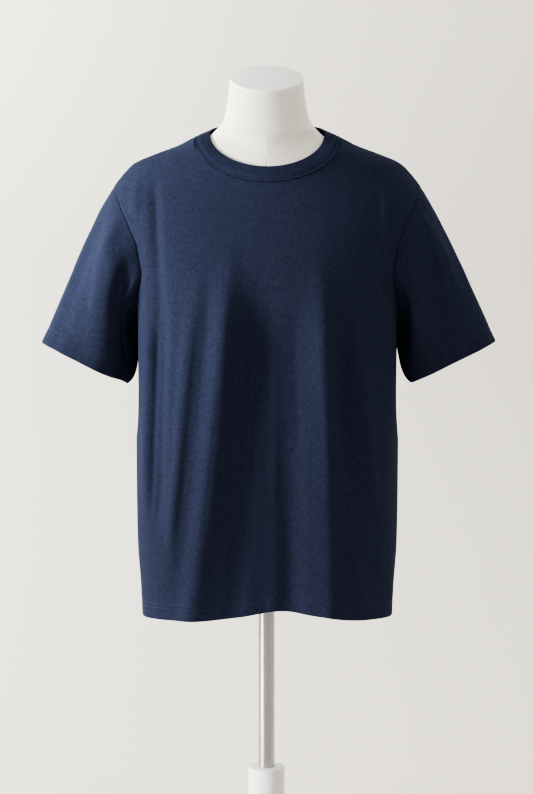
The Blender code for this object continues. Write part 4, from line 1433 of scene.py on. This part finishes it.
class TSHIRT_OT_neckband(bpy.types.Operator):
    """Makes the folded neckband"""

    bl_idname = "tshirt.neckband"
    bl_label = "Make the neckband"

    def execute(self, context):
        settings = context.scene.shirt_settings
        piece = fold_band(settings)
        cloth = cloth_material("rib_cloth", settings.rib, ribbed=True)
        made = lay_cloth("shirt_neckband", piece, piece.grid, settings.rib_thick, cloth)
        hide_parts("neckband")
        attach(made, "figure")
        return {"FINISHED"}


class TSHIRT_OT_stitching(bpy.types.Operator):
    """Makes the rows of stitches on the hems and the neckband"""

    bl_idname = "tshirt.stitching"
    bl_label = "Make the stitching"

    def execute(self, context):
        settings = context.scene.shirt_settings
        thread = thread_material("sewing_thread", settings.thread_colour)
        lift = settings.cloth_thick / 2 + settings.thread * THREAD_CLEAR
        for name in ("front", "back", "sleeve_right", "sleeve_left"):
            piece = cut_pieces()[name]
            bm = bmesh.new()
            for height in (settings.stitch_near, settings.stitch_far):
                line, out = piece.line_above_edge(height)
                if piece.around:
                    line, out = joined_up(line), joined_up(out)
                stitch_row(bm, shift(line), out, settings, lift, piece.around)
            bmesh.ops.recalc_face_normals(bm, faces=bm.faces)
            made = new_object("hem_stitches_" + name, bm, thread)
            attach(made, "figure")
        band = cut_pieces()["neckband"]
        bm = bmesh.new()
        for row in BAND_STITCH_ROWS:
            line, out = joined_up(band.grid[row]), joined_up(band.directions[row])
            stitch_row(bm, line, out, settings, settings.rib_thick / 2, True)
        bmesh.ops.recalc_face_normals(bm, faces=bm.faces)
        made = new_object("neckband_stitches", bm, thread)
        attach(made, "figure")
        return {"FINISHED"}


def even_turns(count):
    return 2 * math.pi * np.arange(count) / count


def turns_with_front_seam():
    """Even turns round the form, with more of them close to the middle of its front."""
    front = 3 * math.pi / 2
    close = front + np.array(FRONT_SEAM_TURNS)
    return np.sort(np.concatenate([even_turns(FORM_TURNS), close]))


def oval_ring(half_width, front, back, square, height, tilt, turn):
    """Points round a section, or round many of them, whose planes lean forward by `tilt`."""
    cos, sin = np.cos(turn), np.sin(turn)
    x = half_width * np.sign(cos) * np.abs(cos) ** (2 / square)
    y = np.where(sin < 0, front, back) * np.sign(sin) * np.abs(sin) ** (2 / square)
    return point(x, y * np.cos(tilt), height + y * np.sin(tilt))


def loft(name, rings, material):
    """A closed form through rings, made from a sphere's own rings, with a UV map in metres."""
    bm = bmesh.new()
    uv_layer = bm.loops.layers.uv.new("cloth")
    turns = rings.shape[1]
    bmesh.ops.create_uvsphere(bm, u_segments=turns, v_segments=len(rings) + 1, radius=1.0)
    places = {}
    for vert in bm.verts:
        level = round(math.acos(max(-1.0, min(1.0, vert.co.z))) / math.pi * (len(rings) + 1))
        turn = round(math.atan2(vert.co.y, vert.co.x) / (2 * math.pi) * turns) % turns
        places[vert] = (len(rings) - level, turn)
    for vert, (level, turn) in places.items():
        if 0 <= level < len(rings):
            vert.co = rings[level][turn]
        else:
            vert.co = rings[0 if level < 0 else -1].mean(axis=0)
    along = running_length(joined_up(rings, axis=1), axis=1).mean(axis=0)
    for face in bm.faces:
        turn_of = [places[loop.vert][1] for loop in face.loops]
        wraps = max(turn_of) - min(turn_of) > turns / 2
        for loop in face.loops:
            turn = places[loop.vert][1]
            turn = turns if wraps and turn == 0 else turn
            loop[uv_layer].uv = (along[turn], loop.vert.co.z)
    bmesh.ops.recalc_face_normals(bm, faces=bm.faces)
    if bm.calc_volume(signed=True) < 0:
        bmesh.ops.reverse_faces(bm, faces=bm.faces)
    return new_object(name, bm, material, FORM_SMOOTH_ANGLE)


def neck_seam_height(x, y):
    """Height of the seam round the form's neck, which hangs low in front."""
    front = NECK_SEAM_FRONT_Z + NECK_SEAM_FRONT_BEND * x**2
    back = NECK_SEAM_BACK_Z + NECK_SEAM_BACK_BEND * x**2
    return np.where(y < 0, front, back)


def neck_seam_line():
    """Points of that seam on the form, and the directions out of the form."""
    turn = np.linspace(0, 2 * math.pi, NECK_SEAM_STEPS)
    z = np.full(len(turn), NECK_SEAM_START_Z)
    for _ in range(NECK_SEAM_ROUNDS):
        sizes = [FORM.at(name, z) for name in FORM.names[1:-1]]
        x, y = np.moveaxis(oval_ring(*sizes, z, 0.0, turn), -1, 0)[:2]
        z = blend(z, neck_seam_height(x, y), NECK_SEAM_SHARE)
    tilt = CAP_TILT * FORM.at("lean", z)
    line = point(x, y * np.cos(tilt), z + y * np.sin(tilt))
    return line, unit(point(x, y, NECK_SEAM_UP))


class TSHIRT_OT_form(bpy.types.Operator):
    """Makes the dress form's covered body and its neck cap"""

    bl_idname = "tshirt.form"
    bl_label = "Make the dress form"

    def execute(self, context):
        settings = context.scene.form_settings
        heights = np.concatenate([np.linspace(*levels) for levels in FORM_LEVELS])[:, None]
        half, front, back, square, lean = (FORM.at(name, heights) for name in FORM.names[1:])
        turns = turns_with_front_seam()
        rings = oval_ring(half, front, back, square, heights, CAP_TILT * lean, turns)
        outward = rings - rings.mean(axis=1, keepdims=True)
        out = facing_out(surface_directions(rings, around=True), outward)
        x, y, z = np.moveaxis(rings, -1, 0)
        below = ease((neck_seam_height(x, y) - z) / FRONT_SEAM_FADE) * (z > FRONT_SEAM_FROM_Z)
        dip = near(x, settings.seam_width) * below
        rings = rings - out * (dip * settings.seam)[..., None]
        cover = cover_material("form_cover", settings.cover)
        made = loft("dress_form", rings, cover)
        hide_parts("form")
        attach(made, "figure")
        # The neck seam: real stitches whose dark colour is also painted shade, standing for the
        # shade in the seam's groove
        bm = bmesh.new()
        stitch_row(bm, *neck_seam_line(), settings, -NECK_SEAM_SUNK, True)
        thread = thread_material("form_thread", settings.seam_thread)
        seam = new_object("form_neck_seam", bm, thread)
        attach(seam, "figure")
        turn = np.linspace(0, math.pi / 2, CAP_EDGE_STEPS)
        rise = CAP_THICK - CAP_EDGE + CAP_EDGE * np.sin(turn)
        rise = np.concatenate([[0.0], rise])[:, None]
        smaller = np.concatenate([[0.0], CAP_EDGE * (1 - np.cos(turn))])[:, None]
        deep = CAP_HALF_DEPTH - smaller
        height = heights[-1] + CAP_GAP + rise
        turns = even_turns(FORM_TURNS)
        rings = oval_ring(CAP_HALF_WIDTH - smaller, deep, deep, 2.0, height, CAP_TILT, turns)
        plastic = paint_material("cap_plastic", settings.cap, roughness=0.6, grain=700.0)
        cap = loft("cap", rings, plastic)
        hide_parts("neck_cap")
        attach(cap, "figure")
        return {"FINISHED"}


class TSHIRT_OT_stand(bpy.types.Operator):
    """Gives the pole, flange, post and base their finishes"""

    bl_idname = "tshirt.stand"
    bl_label = "Finish the stand"

    def execute(self, context):
        settings = context.scene.form_settings
        paint = paint_material("stand_paint", settings.paint, roughness=0.45, grain=900.0)
        steel = steel_material("pole_chrome", settings.steel)
        for name in ("pole", "post", "base_plate", "form_flange"):
            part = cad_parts[name]
            for slot in part.material_slots:
                slot.material = steel if name == "pole" else paint
        return {"FINISHED"}


def area_light(name, power, place, target, size, spread):
    light = bpy.data.lights.new(name, "AREA")
    light.spread = math.radians(spread)
    light.shape = "RECTANGLE"
    light.size = light.size_y = size
    light.energy = power
    made = bpy.data.objects.new(name, light)
    made.location = place
    made.rotation_euler = (Vector(target) - Vector(place)).to_track_quat("-Z", "Y").to_euler()
    bpy.context.scene.collection.objects.link(made)


def bent_wall():
    """The backdrop's mesh: a floor that bends up into a wall."""
    profile = [(FLOOR_FROM_Y, 0.0)]
    for angle in np.linspace(0, math.pi / 2, WALL_BEND_STEPS):
        y = WALL_Y - WALL_BEND + WALL_BEND * math.sin(angle)
        profile.append((y, WALL_BEND - WALL_BEND * math.cos(angle)))
    profile.append((WALL_Y, WALL_TOP))
    bm = bmesh.new()
    verts = [bm.verts.new((-WALL_HALF, y, z)) for y, z in profile]
    edges = [bm.edges.new(pair) for pair in zip(verts, verts[1:])]
    moved = bmesh.ops.extrude_edge_only(bm, edges=edges)
    swept = [item for item in moved["geom"] if isinstance(item, bmesh.types.BMVert)]
    bmesh.ops.translate(bm, verts=swept, vec=(2 * WALL_HALF, 0, 0))
    bmesh.ops.recalc_face_normals(bm, faces=bm.faces)
    if sum(face.normal.z - face.normal.y for face in bm.faces) < 0:
        bmesh.ops.reverse_faces(bm, faces=bm.faces)
    return bm


def clear_from_behind(tree, shader):
    """Makes a sheet's far side see-through, so that the wall hides nothing from behind."""
    behind = node(tree, "NewGeometry")["Backfacing"]
    clear = node(tree, "BsdfTransparent")["BSDF"]
    seen = node(tree, "MixShader", {"Fac": behind, 1: shader.outputs["BSDF"], 2: clear})
    output = next(item for item in tree.nodes if item.type == "OUTPUT_MATERIAL")
    tree.links.new(seen["Shader"], output.inputs["Surface"])


class TSHIRT_OT_stage(bpy.types.Operator):
    """Makes the floor, the wall, the lights and the camera"""

    bl_idname = "tshirt.stage"
    bl_label = "Make the stage"

    def execute(self, context):
        settings = context.scene.stage_settings
        material, tree, shader = new_material("plain_backdrop")
        feed(tree, shader, {
            "Base Color": (*settings.backdrop, 1.0),
            "Roughness": 0.9,
            "Specular IOR Level": 0.1,
        })
        clear_from_behind(tree, shader)
        backdrop = new_object("backdrop", bent_wall(), material)
        for name, light in LIGHTS.items():
            area_light(name + "_light", getattr(settings, name), *light)
        world = bpy.data.worlds.new("studio")
        world.use_nodes = True
        sky = world.node_tree.nodes["Background"]
        feed(world.node_tree, sky, {"Color": SKY_COLOUR, "Strength": settings.sky})
        context.scene.world = world
        context.scene.view_settings.view_transform = "AgX"
        context.scene.view_settings.look = "AgX - High Contrast"
        camera = bpy.data.cameras.new("camera")
        camera.lens = settings.lens
        camera.sensor_width = SENSOR_WIDTH
        camera.dof.use_dof = False
        made = bpy.data.objects.new("camera", camera)
        made.location = (0, -settings.camera_distance, settings.camera_height)
        made.rotation_euler = (math.radians(90 - settings.camera_pitch), 0, 0)
        context.scene.collection.objects.link(made)
        context.scene.camera = made
        return {"FINISHED"}


class TSHIRT_PT_panel(bpy.types.Panel):
    """Lists what this script makes"""

    bl_idname = "TSHIRT_PT_panel"
    bl_label = "T-shirt"
    bl_space_type = "VIEW_3D"
    bl_region_type = "UI"
    bl_category = "T-shirt"

    def draw(self, context):
        for operator in OPERATORS:
            self.layout.operator(operator.bl_idname)
        for group in ("shirt_settings", "form_settings", "stage_settings"):
            settings = getattr(context.scene, group)
            for name in settings.__annotations__:
                self.layout.prop(settings, name)


SETTINGS = {
    "shirt_settings": ShirtSettings,
    "form_settings": FormSettings,
    "stage_settings": StageSettings,
}
OPERATORS = (
    TSHIRT_OT_panels,
    TSHIRT_OT_sleeves,
    TSHIRT_OT_neckband,
    TSHIRT_OT_stitching,
    TSHIRT_OT_form,
    TSHIRT_OT_stand,
    TSHIRT_OT_stage,
)


def register():
    for made in (*SETTINGS.values(), *OPERATORS, TSHIRT_PT_panel):
        bpy.utils.register_class(made)
    for name, made in SETTINGS.items():
        setattr(bpy.types.Scene, name, bpy.props.PointerProperty(type=made))


def unregister():
    for name in SETTINGS:
        delattr(bpy.types.Scene, name)
    for made in (TSHIRT_PT_panel, *OPERATORS[::-1], *SETTINGS.values()):
        bpy.utils.unregister_class(made)


def main():
    register()
    bpy.ops.tshirt.panels()
    bpy.ops.tshirt.sleeves()
    bpy.ops.tshirt.neckband()
    bpy.ops.tshirt.stitching()
    bpy.ops.tshirt.form()
    bpy.ops.tshirt.stand()
    bpy.ops.tshirt.stage()


if __name__ == "__main__":
    main()
